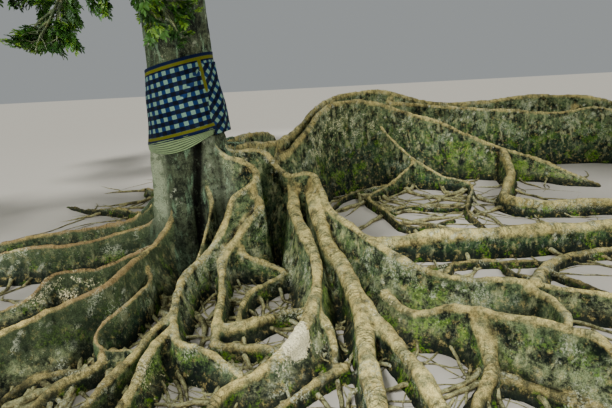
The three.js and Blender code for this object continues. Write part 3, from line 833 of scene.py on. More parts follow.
@dataclass(frozen=True)
class Trunk:
    """The fluted trunk, from the ground to the fork."""

    profile: Pairs = (
        (0.0, 0.6), (0.5, 0.52), (1.2, 0.48), (1.9, 0.422), (2.7, 0.378),
        (3.6, 0.372), (4.4, 0.41), (5.0, 0.47), (5.3, 0.38),
    )
    lean: Pair = (-0.025, 0.01)
    lobes: int = 7
    lobe_low: float = 0.1
    lobe_high: float = 0.03
    lobes_fade_by: float = 3.0
    unevenness: float = 0.6
    groove_bearing: float = -1.3
    groove_turn: float = 0.33
    groove_width: float = 0.16
    groove_depth: float = 0.24
    groove_top: float = 2.0
    groove_fade: float = 0.9
    groove_near: Pair = (0.55, 0.75)
    groove_narrower: float = 1.15
    # Heights where the painted shade in the deep groove fades out.
    groove_dark_to: Pair = (2.2, 2.9)
    wrinkle: float = 0.007
    wrinkle_pitch: float = 0.075
    wrinkles_from: Pair = (0.5, 0.9)
    wrinkles_to: Pair = (1.55, 1.8)
    flute: float = 0.012
    flutes: int = 23
    flutes_from: Pair = (1.2, 2.6)
    columns: tuple[Triple, ...] = ((-144.0, 25.0, 0.9), (-42.0, 18.0, 0.3))
    columns_near: Pair = (0.6, 0.8)
    columns_from: Pair = (0.35, 0.8)
    columns_to: Pair = (1.7, 2.2)

    @property
    def top(self) -> float:
        """Height of the fork."""
        return self.profile[-1][0]

    def lobe_depth(self, height: Array) -> Array:
        """How deep the flutes are at a height, as a share of the radius."""
        return self.lobe_low + (self.lobe_high - self.lobe_low) * ease(height, 0, self.lobes_fade_by)

    def groove_at(self, height: Array) -> Array:
        """The bearing of the deep groove at a height."""
        return self.groove_bearing + self.groove_turn * np.clip(height - 0.9, 0, 1)

    def radius(self, bearing: Array, height: Array) -> Array:
        """The trunk's radius at bearings in radians and heights.

        Args:
            bearing: bearings in radians.
            height: heights above the ground.

        Returns:
            The radius at each.
        """
        lobes = self.lobe_depth(height) * np.cos(
            self.lobes * bearing + self.unevenness * np.sin(2 * bearing)
        )
        fade = 1 - ease(height, self.groove_top, self.groove_top + self.groove_fade)
        off = turn_from(self.groove_at(height), bearing) / self.groove_width
        groove = self.groove_depth * fade * np.exp(-(off**2))
        return along(self.profile, height) * (1 + lobes - groove)

    def groove(self, places: Array) -> Array:
        """How far into the deep groove each place lies, from 0 to 1, where the bark paints shade.

        Args:
            places: places, one row each.

        Returns:
            One share for each place.
        """
        bearing, gap = self.around(places)
        off = turn_from(self.groove_at(places[:, 2]), bearing) / self.groove_width
        near = 1 - ease(gap, *self.groove_near)
        depth = near * np.exp(-((self.groove_narrower * off) ** 4))
        return depth * (1 - ease(places[:, 2], *self.groove_dark_to))

    def smooth_columns(self, places: Array) -> Array:
        """How much each place belongs to the smooth pale columns under the cloth, from 0 to 1.

        Args:
            places: places, one row each.

        Returns:
            One share for each place.
        """
        bearing, gap = self.around(places)
        total = np.zeros(len(places))
        for middle, width, strength in self.columns:
            off = np.degrees(turn_from(math.radians(middle), bearing)) / width
            total += strength * np.exp(-(off**4))
        total *= (1 - ease(gap, *self.columns_near)) * ease(places[:, 2], *self.columns_from)
        return total * (1 - ease(places[:, 2], *self.columns_to))

    def envelope(self, height: Array) -> Array:
        """The radius over the lobes, which the cloth lies on."""
        return along(self.profile, height) * (1 + self.lobe_depth(height))

    def middle(self, height: Array) -> Array:
        """The trunk's middle at each height."""
        share = np.asarray(height)[..., None] / self.top
        return share * np.array(self.lean)

    def around(self, places: Array) -> tuple[Array, Array]:
        """Each place's bearing in radians and distance from the trunk's middle."""
        offset = places[:, :2] - self.middle(np.clip(places[:, 2], 0, self.top))
        return np.arctan2(offset[:, 1], offset[:, 0]), norm(offset, axis=1)

    def ring(self, bearing: Array, height: Array, radius: Array) -> Array:
        """Places at bearings and heights, a radius away from the trunk's middle.

        Args:
            bearing: bearings in radians.
            height: heights above the ground.
            radius: distances from the middle.

        Returns:
            The places.
        """
        middle = self.middle(height)
        x = middle[..., 0] + radius * np.cos(bearing)
        y = middle[..., 1] + radius * np.sin(bearing)
        return np.stack([x, y, height + 0 * x], -1)

    def shell(self, low: float, high: float, step: float) -> Shell:
        """The trunk's skin with its wrinkles and fine flutes.

        Args:
            low: height of the first ring.
            high: height of the last ring.
            step: about how far apart the points are.

        Returns:
            The skin.
        """
        heights = np.linspace(low, high, max(3, round((high - low) / step)))[:, None]
        bearings = np.linspace(0, TURN, round(2.4 / step), endpoint=False)[None, :]
        level = np.maximum(heights, 0)
        wrinkled = ease(level, *self.wrinkles_from) * (1 - ease(level, *self.wrinkles_to))
        turn = TURN * level / self.wrinkle_pitch + 1.6 * np.sin(3 * bearings)
        relief = self.wrinkle * wrinkled * np.sin(turn)
        fluted = np.sin(self.flutes * bearings + 1.3 * np.sin(2.1 * level + 2 * bearings))
        relief = relief + self.flute * ease(level, *self.flutes_from) * fluted
        places = self.ring(bearings, level, self.radius(bearings, level) + relief)
        places[..., 2] = heights
        return Shell(places)


@dataclass(frozen=True)
class RootShape:
    """What every root wall shares."""

    taper: float = 0.4
    swell: float = 0.16
    dip: float = 0.012
    toes: float = 0.22
    bead: float = 20.0
    bead_points: int = 11
    wall_points: int = 6
    flare: float = 1.5
    buried: float = 0.06


ROOT_SHAPE = RootShape()


class Wall(NamedTuple):
    """One wall of a root: full widths at rim and foot, and stations of (x, y, rim height)."""

    rim: float
    foot: float
    stations: list[Triple]

    def ridge(self, step: float) -> tuple[Array, Array]:
        """The wall's ridge.

        Args:
            step: about how far apart its points are.

        Returns:
            The ridge's points, and half the rim's width at each.
        """
        points = curve_through(self.stations, step)
        share = np.linspace(0, 1, len(points))
        half = np.minimum(self.rim / 2 * (1 - ROOT_SHAPE.taper * share), 0.7 * points[:, 2])
        return points, half

    def shell(self, step: float, slimmer: float = 0.0) -> Shell:
        """The wall's skin: a round bead on a wall that flares to the ground.

        Args:
            step: about how far apart its rings are.
            slimmer: how much narrower and lower than the solid it is.

        Returns:
            The skin.
        """
        shape = ROOT_SHAPE
        ridge, half = self.ridge(step)
        share = np.linspace(0, 1, len(ridge))
        way = unit(np.gradient(ridge[:, :2], axis=0))
        side = np.stack([way[:, 1], -way[:, 0]], -1)
        phase = 9 * self.stations[0][0] + 5 * self.stations[0][1]
        walked = np.arange(len(ridge)) * step
        swell = 1 + shape.swell * np.sin(7.3 * walked + phase) * np.sin(3.1 * walked + 2 * phase)
        height = ridge[:, 2] - slimmer + shape.dip * np.sin(5.2 * walked + phase) * half / 0.06
        height = np.maximum(height, 0.01)
        half = np.maximum(half * swell - slimmer, 0.004)
        toes = np.sin(6.1 * walked + 3 * phase) * np.sin(2.3 * walked + phase)
        foot = self.foot / 2 * (1 - shape.taper * share) * (1 + shape.toes * toes)
        foot = np.minimum(foot, half + height)
        foot = np.maximum(foot - slimmer, half)
        angles = np.radians(np.linspace(-shape.bead, 180 + shape.bead, shape.bead_points))
        bead_x = half[:, None] * np.cos(angles)
        bead_z = (height - half)[:, None] + half[:, None] * np.sin(angles)
        neck_x = bead_x[:, :1]
        neck_z = np.maximum(bead_z[:, :1], 0.15 * height[:, None])
        fall = np.linspace(0, 1, shape.wall_points + 1)[1:]
        wall_x = neck_x + (foot[:, None] - neck_x) * fall**shape.flare
        wall_z = neck_z * (1 - fall)
        below = np.full((len(ridge), 1), -shape.buried)
        x = np.hstack([foot[:, None], wall_x[:, ::-1], bead_x, -wall_x, -foot[:, None]])
        z = np.hstack([below, wall_z[:, ::-1], np.maximum(bead_z, 0.1 * neck_z), wall_z, below])
        flat = ridge[:, None, :2] + x[..., None] * side[:, None, :]
        return Shell(np.concatenate([flat, z[..., None]], -1)[:, ::-1])


def read_roots(table: str) -> dict[str, list[Wall]]:
    """Reads the roots' walls from a table in centimetres.

    Args:
        table: the walls, with semicolons between them. Each has its root's name, its widths at
            the rim and the foot, and its stations between commas: x, y and the rim's height.

    Returns:
        The walls of each root.
    """
    roots: dict[str, list[Wall]] = {}
    for row in table.split(";"):
        head, course = row.split(":")
        name, *widths = head.split()
        stations = [tuple(float(n) / 100 for n in station.split()) for station in course.split(",")]
        rim, foot = (float(width) / 100 for width in widths)
        roots.setdefault(f"root_{name}", []).append(Wall(rim, foot, stations))
    return roots


ROOTS = read_roots("""
left_long 9 52: -10 -20 115, -20 -55 71, -28 -98 57, -34 -160 57, -44 -210 54, -66 -245 54, -105 -285 46,
    -150 -335 30, -200 -380 6;
left_long 5.5 15: -30 -135 40, -18 -162 38, -19 -200 38, -25 -230 38, -34 -250 34, -33 -264 29, -20 -272 25,
    2 -270 23;
left_low 11 19: -20 -260 20, -30 -280 17, -48 -296 14, -56 -310 12, -60 -350 9, -85 -400 4;
left_low 8 14: -34 -284 12, -62 -278 11, -85 -295 10, -95 -325 8, -120 -360 4;
left_third 7 34: -28 -64 44, -52 -88 42, -95 -115 33, -130 -135 37, -145 -172 25, -185 -200 18, -250 -255 5;
left_second 7.5 40: -20 -5 105, -58 -16 56, -110 -22 42, -155 -50 40, -205 -64 43, -260 -70 33, -330 -100 18,
    -400 -105 5;
left_back 7.5 32: -20 10 150, -62 22 82, -95 36 52, -140 52 36, -225 45 30, -300 20 24, -370 5 15,
    -450 -25 4;
back_left 8 34: -15 20 150, -42 62 78, -76 125 50, -110 200 36, -130 280 30, -180 350 20, -210 430 5;
back_left 6.5 22: -76 125 40, -130 155 24, -190 210 18, -260 240 12, -330 300 4;
back_middle 8.5 38: 0 20 160, -10 75 92, -5 150 64, -40 240 50, -50 330 40, -90 420 22, -110 500 5;
back_right 12 70: 15 15 160, 42 32 150, 82 130 134, 116 210 130, 145 280 146, 180 340 174, 220 400 186,
    270 450 192, 340 490 188, 440 510 159, 550 520 151, 670 530 158, 770 530 156, 880 520 138, 980 495 80,
    1080 440 6;
back_second 9 46: 350 485 162, 400 460 158, 490 465 147, 605 480 134, 740 475 122, 820 465 130, 890 430 95,
    970 360 6;
back_far 9 48: 10 20 155, 36 72 150, 66 160 146, 86 250 133, 96 340 100, 90 430 60, 65 510 26, 60 580 5;
right_wave 11 76: 100 162 100, 120 178 112, 150 230 136, 185 290 170, 233 330 180, 296 360 172, 372 380 145,
    440 380 122, 520 370 82, 575 350 62, 630 310 42, 700 240 6;
right_elbow 17 34: 562 360 66, 542 270 40, 500 190 32, 470 125 29, 486 93 29, 530 85 27, 620 82 24,
    690 60 15, 750 30 4;
right_tangle 8 20: 305 360 125, 330 340 95, 366 305 60, 410 280 32, 455 250 20, 420 155 13, 400 95 10,
    404 40 5;
right_tangle 7.5 15: 362 305 55, 310 260 26, 260 205 16, 274 120 14, 295 40 11, 375 80 5;
right_tangle 7 13: 315 262 24, 275 275 15, 220 235 11, 190 170 5;
right_tangle 6 11: 275 120 12, 320 150 10, 375 130 9, 410 130 9;
right_front 11 64: 15 -5 180, 44 -6 146, 68 10 142, 93 12 137, 112 -3 118, 128 -24 111, 154 -38 116,
    164 -62 100, 174 -92 82, 195 -130 73, 220 -175 64, 248 -202 53, 285 -214 46, 325 -218 43, 360 -214 34,
    405 -220 27, 470 -235 18, 550 -280 4;
right_front 11 56: 215 -200 30, 236 -234 25, 262 -250 36, 295 -282 44, 322 -310 50, 340 -335 50, 350 -365 30,
    360 -410 6;
right_front 11 42: 342 -214 36, 352 -245 36, 346 -280 42, 328 -312 46;
right_front 13 24: 280 -272 36, 280 -295 24, 276 -312 18, 255 -340 12, 235 -385 4;
right_front 11 20: 276 -310 16, 300 -326 13, 330 -360 10, 330 -410 4;
right_log 26 33: 172 -50 26, 243 -53 31, 340 -61 38, 437 -59 37, 535 -48 35, 610 -52 26, 720 -95 5;
right_low 13 21: 350 -205 24, 375 -172 18, 407 -130 14, 445 -100 13, 510 -86 13, 570 -105 10, 630 -140 4;
right_low 8.5 15: 220 -140 16, 254 -120 12, 295 -102 10, 340 -96 10, 385 -100 10, 440 -105 9;
right_low 8 15: 280 -210 30, 282 -165 19, 300 -125 14, 314 -98 9;
right_low 7 11: 374 -98 9, 370 -130 10, 390 -152 10;
right_low 7 11: 410 -120 9, 420 -150 8, 450 -185 4;
front_long 21 34: 156 -42 98, 158 -78 86, 166 -120 62, 180 -165 47, 188 -210 36, 189 -260 30, 186 -310 27,
    187 -360 22, 205 -450 4;
front_long 17 28: 187 -202 34, 198 -236 29, 212 -274 25, 222 -310 22, 228 -350 17, 238 -410 4;
front_pillar 15 56: 130 -30 95, 133 -80 80, 142 -120 68, 152 -160 56, 153 -200 45, 146 -242 39, 130 -282 33,
    105 -308 23, 80 -320 17, 62 -350 4;
front_pillar 9 16: 172 -290 13, 153 -303 12, 134 -320 12, 110 -342 10, 100 -380 4;
front_pillar 8 24: 150 -230 34, 162 -260 20, 162 -295 10;
front_left 11 38: 15 -12 170, 48 -26 142, 72 -34 133, 88 -48 121, 78 -64 107, 60 -76 97, 50 -88 72,
    40 -107 54, 26 -132 42, 17 -158 38, 18 -205 34, 28 -250 32, 38 -275 31, 58 -285 31, 76 -297 27,
    92 -306 20;
front_left 10 30: 28 -248 30, 19 -268 31, 16 -292 29, 14 -324 22, 2 -370 14, -10 -420 4;
front_left 9 28: 20 -220 30, 9 -250 29, 3 -275 24, -8 -305 20, -20 -335 15, -45 -400 4;
front_middle 12 25: 70 -62 98, 88 -66 97, 92 -74 88, 76 -82 70, 62 -95 52, 50 -112 39, 51 -140 31,
    57 -180 26, 60 -230 21, 60 -256 14;
front_middle 9 21: 60 -96 48, 74 -100 34, 96 -106 26, 118 -126 22, 100 -144 19, 83 -166 18, 78 -195 17,
    78 -224 16;
front_middle 14 25: 58 -234 17, 82 -228 17, 102 -216 16, 120 -204 16, 146 -198 15;
front_middle 11 19: 58 -250 14, 85 -257 13, 110 -262 12, 132 -266 12;
front_middle 8 14: 60 -98 42, 50 -100 45, 36 -114 42;
front_small 6 20: 10 -20 125, 30 -50 90, 28 -64 71, 22 -86 46, 15 -108 26, 5 -136 6
""")


@dataclass(frozen=True)
class BarkSkin:
    """How finely a group of shells is joined, and how deep its bark's relief is."""

    voxel: float
    smoothing: int
    kept: float
    broad: float = 0.06
    folds: float = 0.04
    grain: float = 0.011
    upright: float = 0.4

    def relief(self) -> GeometryGraph:
        """A tree that moves the skin in and out by noise of three sizes.

        Returns:
            The tree.
        """
        sizes = {"Broad relief": self.broad, "Fold relief": self.folds, "Grain relief": self.grain}
        g = GeometryGraph("bark_relief", sizes)
        runs = g.stretched(g.out("GeometryNodeInputPosition"), (1.0, 1.0, self.upright))
        total: Value = 0.0
        for size, scale in zip(sizes, (2.3, 8.0, 27.0)):
            total = (g.noise(runs, scale, 3.0, 0.5) - 0.5) * g.inputs[size] + total
        normal = g.out("GeometryNodeInputNormal")
        offset = g.out("ShaderNodeVectorMath", {0: normal, "Scale": total}, operation="SCALE")
        inputs = {"Geometry": g.inputs["Geometry"], "Offset": offset}
        g.end(g.out("GeometryNodeSetPosition", inputs), {})
        return g

    def grown(self, name: str, shells: Iterable[Shell]) -> Mesh:
        """One skin over several shells.

        Args:
            name: the mesh's name.
            shells: the shells, which may overlap.

        Returns:
            The joined, smoothed and displaced skin.
        """
        piece = joined(name, shells)
        remesh = piece.modifiers.new("join", "REMESH")
        remesh.mode = "VOXEL"
        remesh.voxel_size = self.voxel
        smooth = piece.modifiers.new("soften", "SMOOTH")
        smooth.factor = 0.5
        smooth.iterations = self.smoothing
        self.relief().put_on(piece)
        if self.kept < 1:
            piece.modifiers.new("thin", "DECIMATE").ratio = self.kept
        return baked(piece, name)


def cut_level(mesh: Mesh, height: float, keep_above: bool) -> None:
    """Cuts a mesh flat at a height and closes the cut.

    Args:
        mesh: the mesh, changed in place.
        height: where it is cut.
        keep_above: whether the part above is kept.
    """
    shape = bmesh.new()
    shape.from_mesh(mesh)
    everything = shape.verts[:] + shape.edges[:] + shape.faces[:]
    cut = bmesh.ops.bisect_plane(
        shape, geom=everything, dist=1e-4, plane_co=(0, 0, height), plane_no=(0, 0, 1),
        clear_inner=keep_above, clear_outer=not keep_above,
    )
    rim = [e for e in cut["geom_cut"] if isinstance(e, bmesh.types.BMEdge) and e.is_boundary]
    down = (0, 0, -1 if keep_above else 1)
    bmesh.ops.triangle_fill(shape, use_beauty=False, use_dissolve=False, edges=rim, normal=down)
    bmesh.ops.triangulate(shape, faces=[f for f in shape.faces if len(f.verts) > 3])
    shape.to_mesh(mesh)
    shape.free()


def softened(values: Array, edges: Array, rounds: int) -> Array:
    """Values spread to their neighbours along edges, round after round.

    Args:
        values: one row for each vertex.
        edges: vertex numbers, two to a row.
        rounds: how often they are spread.

    Returns:
        The softened values.
    """
    count = len(values)
    ends = np.concatenate([edges[:, 0], edges[:, 1]])
    others = np.concatenate([edges[:, 1], edges[:, 0]])
    share = np.maximum(np.bincount(ends, minlength=count), 1)
    for _ in range(rounds):
        columns = [np.bincount(ends, weights=c[others], minlength=count) / share for c in values.T]
        values = 0.5 * values + 0.5 * np.stack(columns, -1)
    return values


class Skin(NamedTuple):
    """A whole skin's vertex places and normals, and what its bark reads at each, by name."""

    places: Array
    normals: Array
    values: dict[str, Array]

    def part(self, kind: str, triangles: Array) -> Object:
        """A piece made of some of the skin's triangles, with the whole skin's normals.

        Args:
            kind: the node that the piece stands for.
            triangles: the piece's triangles.

        Returns:
            The piece.
        """
        used, faces = np.unique(triangles, return_inverse=True)
        mesh = mesh_of(f"{kind}_bark", self.places[used], faces.reshape(-1, 3).tolist())
        for name, value in self.values.items():
            store(mesh, name, value[used])
        mesh.normals_split_custom_set_from_vertices(self.normals[used].tolist())
        return placed(mesh.name, mesh)


@dataclass
class RootSystem:
    """The trunk's foot and the surface roots, in one near skin and one far skin."""

    trunk: Trunk
    near: BarkSkin = BarkSkin(0.018, 7, 0.5)
    far: BarkSkin = BarkSkin(0.034, 4, 0.8)
    far_slimmer: float = 0.006
    far_roots: tuple[str, ...] = (
        "root_back_left", "root_back_middle", "root_back_right", "root_back_second",
        "root_back_far", "root_right_wave", "root_right_elbow", "root_left_back",
    )
    stub: float = 1.1
    stub_start: float = 0.5
    join_height: float = 4.45
    squash: float = 0.5
    near_rim: float = 2.3
    far_rim: float = 4.5
    lichen: Spots = ((1.36, -2.84, 0.31, 0.17), (1.3, -2.72, 0.36, 0.12), (1.2, -3.1, 0.21, 0.06))
    speckled: Spots = (
        (1.8, 2.6, 1.1, 0.5), (2.25, 3.0, 1.35, 0.5), (1.16, -2.85, 0.22, 0.25), (2.9, 3.35, 1.3, 0.35),
        (3.6, 3.6, 1.1, 0.3), (1.6, -2.7, 0.3, 0.25), (2.16, -2.43, 0.75, 0.4), (2.07, -2.34, 0.5, 0.4),
        (-1.24, -1.4, 0.25, 0.45), (0.34, -3.05, 0.2, 0.3),
    )
    speckle_share: float = 0.42
    moss: Spots = (
        (2.6, -2.7, 0.2, 0.5), (3.1, -3.2, 0.15, 0.7), (1.6, -2.2, 0.2, 0.4), (2.6, -2.2, 0.1, 0.4),
        (5.5, 3.6, 0.5, 1.2), (5.2, 0.8, 0.1, 0.5), (0.3, -3.2, 0.1, 0.5), (9.0, 5.0, 1.1, 0.8),
    )
    ribbed: str = "root_back_right"
    rib_span: Pair = (1.7, 8.5)
    rib_step: float = 0.1
    rib_gaps: tuple[int, int] = (3, 16)
    rib_lowest: float = 0.7
    rib_reach: Pair = (0.6, 2.1)
    rib_sweep: Pair = (-0.3, 1.7)
    rib_tops: Pair = (0.3, 0.9)
    rib_girths: Pair = (0.05, 0.14)
    rib_foot: float = 2.8
    rib_course: Pairs = (
        (0.0, 1.0), (0.16, 0.7), (0.34, 0.42), (0.6, 0.2), (0.82, 0.1), (1.0, 0.03),
    )
    rib_seed: int = 4

    def walls_of(self, names: Iterable[str]) -> list[tuple[str, Wall]]:
        """Each wall of the named roots with its root's name, ribs among them."""
        found = [(name, wall) for name in names for wall in ROOTS[name]]
        return found + [(name, rib) for name, wall in found if name == self.ribbed for rib in self.ribs(wall)]

    def ribs(self, wall: Wall) -> list[Wall]:
        """Side roots that run down a tall wall's hidden flank, by a seeded rule.

        Args:
            wall: the tall wall.

        Returns:
            The side roots' walls.
        """
        random = np.random.default_rng(self.rib_seed)
        ridge = curve_through(wall.stations, self.rib_step)
        way = unit(np.gradient(ridge[:, :2], axis=0))
        made = []
        for i in np.cumsum(random.integers(*self.rib_gaps, len(ridge))):
            if i >= len(ridge):
                break
            place, ahead = ridge[i], way[i]
            reach, sweep = random.uniform(*self.rib_reach), random.uniform(*self.rib_sweep)
            top, girth = place[2] * random.uniform(*self.rib_tops), random.uniform(*self.rib_girths)
            bend = random.normal()
            if not self.rib_span[0] < place[0] < self.rib_span[1] or place[2] < self.rib_lowest:
                continue
            out = np.array([-ahead[1], ahead[0]])
            stations = []
            for gone, height in self.rib_course:
                aside = sweep * gone**1.6 + 0.12 * bend * math.sin(TURN * gone)
                flat = place[:2] + out * reach * gone + ahead * aside
                stations.append((*flat, max(top * height, 0.03)))
            made.append(Wall(girth, self.rib_foot * girth, stations))
        return made

    def near_roots(self) -> list[str]:
        """The roots in the near skin."""
        return [name for name in ROOTS if name not in self.far_roots]

    def stubs(self) -> list[Shell]:
        """The starts of the far roots, which the near skin blends into the trunk.

        Returns:
            Their shells.
        """
        made = []
        for _, wall in self.walls_of(self.far_roots):
            if np.hypot(*wall.stations[0][:2]) > self.stub_start:
                continue
            ridge = curve_through(wall.stations, 0.1)
            kept = ridge[np.hypot(ridge[:, 0], ridge[:, 1]) < self.stub]
            short = Wall(wall.rim * 1.06, wall.foot * 1.04, [tuple(p) for p in kept[::2]])
            made.append(short.shell(self.near.voxel * 1.5))
        return made

    def marks(self, names: Iterable[str], with_trunk: bool) -> tuple[KDTree, Array, list[str]]:
        """A finder of the nearest ridge.

        Args:
            names: the roots to look among.
            with_trunk: whether the trunk's skin is among them.

        Returns:
            The finder, one row for each ridge point (place, half width, way along the wall), and
            each point's root.
        """
        rows = []
        owners = []
        walked = 0.0
        for name, wall in self.walls_of(names):
            ridge, half = wall.ridge(0.03)
            clear = self.outside_trunk(ridge, 0.95) | (not with_trunk)
            step = norm(np.diff(ridge, axis=0), axis=1)
            way = walked + np.concatenate([[0], np.cumsum(step)])
            walked = way[-1] + 3
            rows.append(np.column_stack([ridge, half, way])[clear])
            owners += [name] * int(clear.sum())
        if with_trunk:
            heights = np.arange(0, self.join_height, 0.06)
            bearings = np.linspace(0, TURN, 40, endpoint=False)
            level, bearing = (grid.ravel() for grid in np.meshgrid(heights, bearings))
            skin = self.trunk.ring(bearing, level, self.trunk.radius(bearing, level))
            rows.append(np.column_stack([skin, 0 * level, level]))
            owners += ["trunk"] * len(level)
        table = np.vstack(rows)
        finder = KDTree(len(table))
        for i, (x, y, z) in enumerate(table[:, :3]):
            finder.insert((x, y, self.squash * z), i)
        finder.balance()
        return finder, table, owners

    def outside_trunk(self, places: Array, share: float) -> Array:
        """Which places lie outside the trunk, or outside a share of its radius."""
        bearing, gap = self.trunk.around(places)
        return gap > share * self.trunk.radius(bearing, places[:, 2])

    def dressed(self, mesh: Mesh, names: Iterable[str], with_trunk: bool) -> list[Object]:
        """Splits a skin into its roots' pieces, with what the bark's material reads.

        Args:
            mesh: the whole skin.
            names: the roots in it.
            with_trunk: whether the trunk is in it too.

        Returns:
            The pieces.
        """
        finder, table, owners = self.marks(names, with_trunk)
        places, normals = places_of(mesh), normals_of(mesh)
        nearest = np.array([finder.find((x, y, self.squash * z))[1] for x, y, z in places])
        ridge = table[nearest]
        half = ridge[:, 3]
        gap = norm(places - ridge[:, :3], axis=1) / np.maximum(half, 0.01)
        edges = numbers_of(mesh.edges, "vertices", np.int32, 2)
        # How sunken each place is: the hollows where the bark paints shade.
        sunk = np.sum((softened(places, edges, 14) - places) * normals, axis=1)
        rim = (half > 0) * (1 - ease(gap, 0.9, self.near_rim if with_trunk else self.far_rim))
        rim, hollow = softened(np.stack([rim, ease(sunk, 0.001, 0.02)], -1), edges, 2).T
        speckles = self.speckle_share * self.spread(places, self.speckled)
        skin = Skin(places, normals, {
            "rim": rim,
            "run": ridge[:, 4],
            "hollow": np.maximum(hollow, self.trunk.groove(places)),
            "patch": np.maximum(self.spread(places, self.lichen), speckles),
            "moss": self.spread(places, self.moss),
            "smooth": self.trunk.smooth_columns(places),
            "fall": (half > 0) * np.clip(1 - places[:, 2] / np.maximum(ridge[:, 2], 0.05), 0, 1),
        })
        kinds = sorted(set(owners))
        labels = np.array([kinds.index(owner) for owner in owners])[nearest]
        triangles = triangles_of(mesh)
        first = labels[triangles]
        agreed = np.where(first[:, 1] == first[:, 2], first[:, 1], first[:, 0])
        shares = [(kind, triangles[agreed == i]) for i, kind in enumerate(kinds)]
        return [skin.part(kind, mine) for kind, mine in shares if len(mine)]

    @staticmethod
    def spread(places: Array, spots: Spots) -> Array:
        """How strongly each place is covered by soft round spots.

        Args:
            places: places, one row each.
            spots: their middles and reaches.

        Returns:
            From 0 to 1 for each place.
        """
        total = np.zeros(len(places))
        for *middle, reach in spots:
            gap = norm(places - middle, axis=1)
            total = np.maximum(total, 1 - ease(gap, 0.4 * reach, 1.6 * reach))
        return total

    def build(self, finish: BarkFinish, trunk_finish: BarkFinish, low_limb: Shell) -> None:
        """Builds and declares every root piece, and the trunk's lower part with its low limb.

        Args:
            finish: the roots' bark.
            trunk_finish: the trunk's bark.
            low_limb: the skin of the limb under the boughs.
        """
        root_bark = finish.material()
        trunk_bark = trunk_finish.material()
        step = self.near.voxel * 1.6
        shells = [self.trunk.shell(-ROOT_SHAPE.buried, self.join_height + 0.2, step)]
        shells += [wall.shell(step) for _, wall in self.walls_of(self.near_roots())]
        near = self.near.grown("near_skin", shells + self.stubs() + [low_limb])
        cut_level(near, 0.0, keep_above=True)
        cut_level(near, self.join_height, keep_above=False)
        step = self.far.voxel * 1.5
        shells = [wall.shell(step, self.far_slimmer) for _, wall in self.walls_of(self.far_roots)]
        far = self.far.grown("far_skin", shells)
        cut_level(far, 0.0, keep_above=True)
        pieces = self.dressed(near, self.near_roots(), with_trunk=True)
        pieces += self.dressed(far, self.far_roots, with_trunk=False)
        for piece in pieces:
            node = piece.name.removesuffix("_bark")
            piece.data.materials.append(trunk_bark if node == "trunk" else root_bark)
            nodes = (node, "limb_low") if node == "trunk" else (node,)
            handed_in(piece, f"{node.split('_')[0]}_bark", *nodes)


class Fringe(NamedTuple):
    """Fine roots along some of the main roots: how close, how long and how thick they are."""

    name: str
    hosts: str
    spacing: float
    stride: float
    girths: Pair

    def roots(self) -> list[str]:
        """The nodes of the roots that they leave."""
        return [f"root_{host}" for host in self.hosts.split()]


class RootletStart(NamedTuple):
    """Where a rootlet leaves its root, its bearing in radians, and the reach of the root's foot."""

    place: Array
    bearing: float
    foot: float


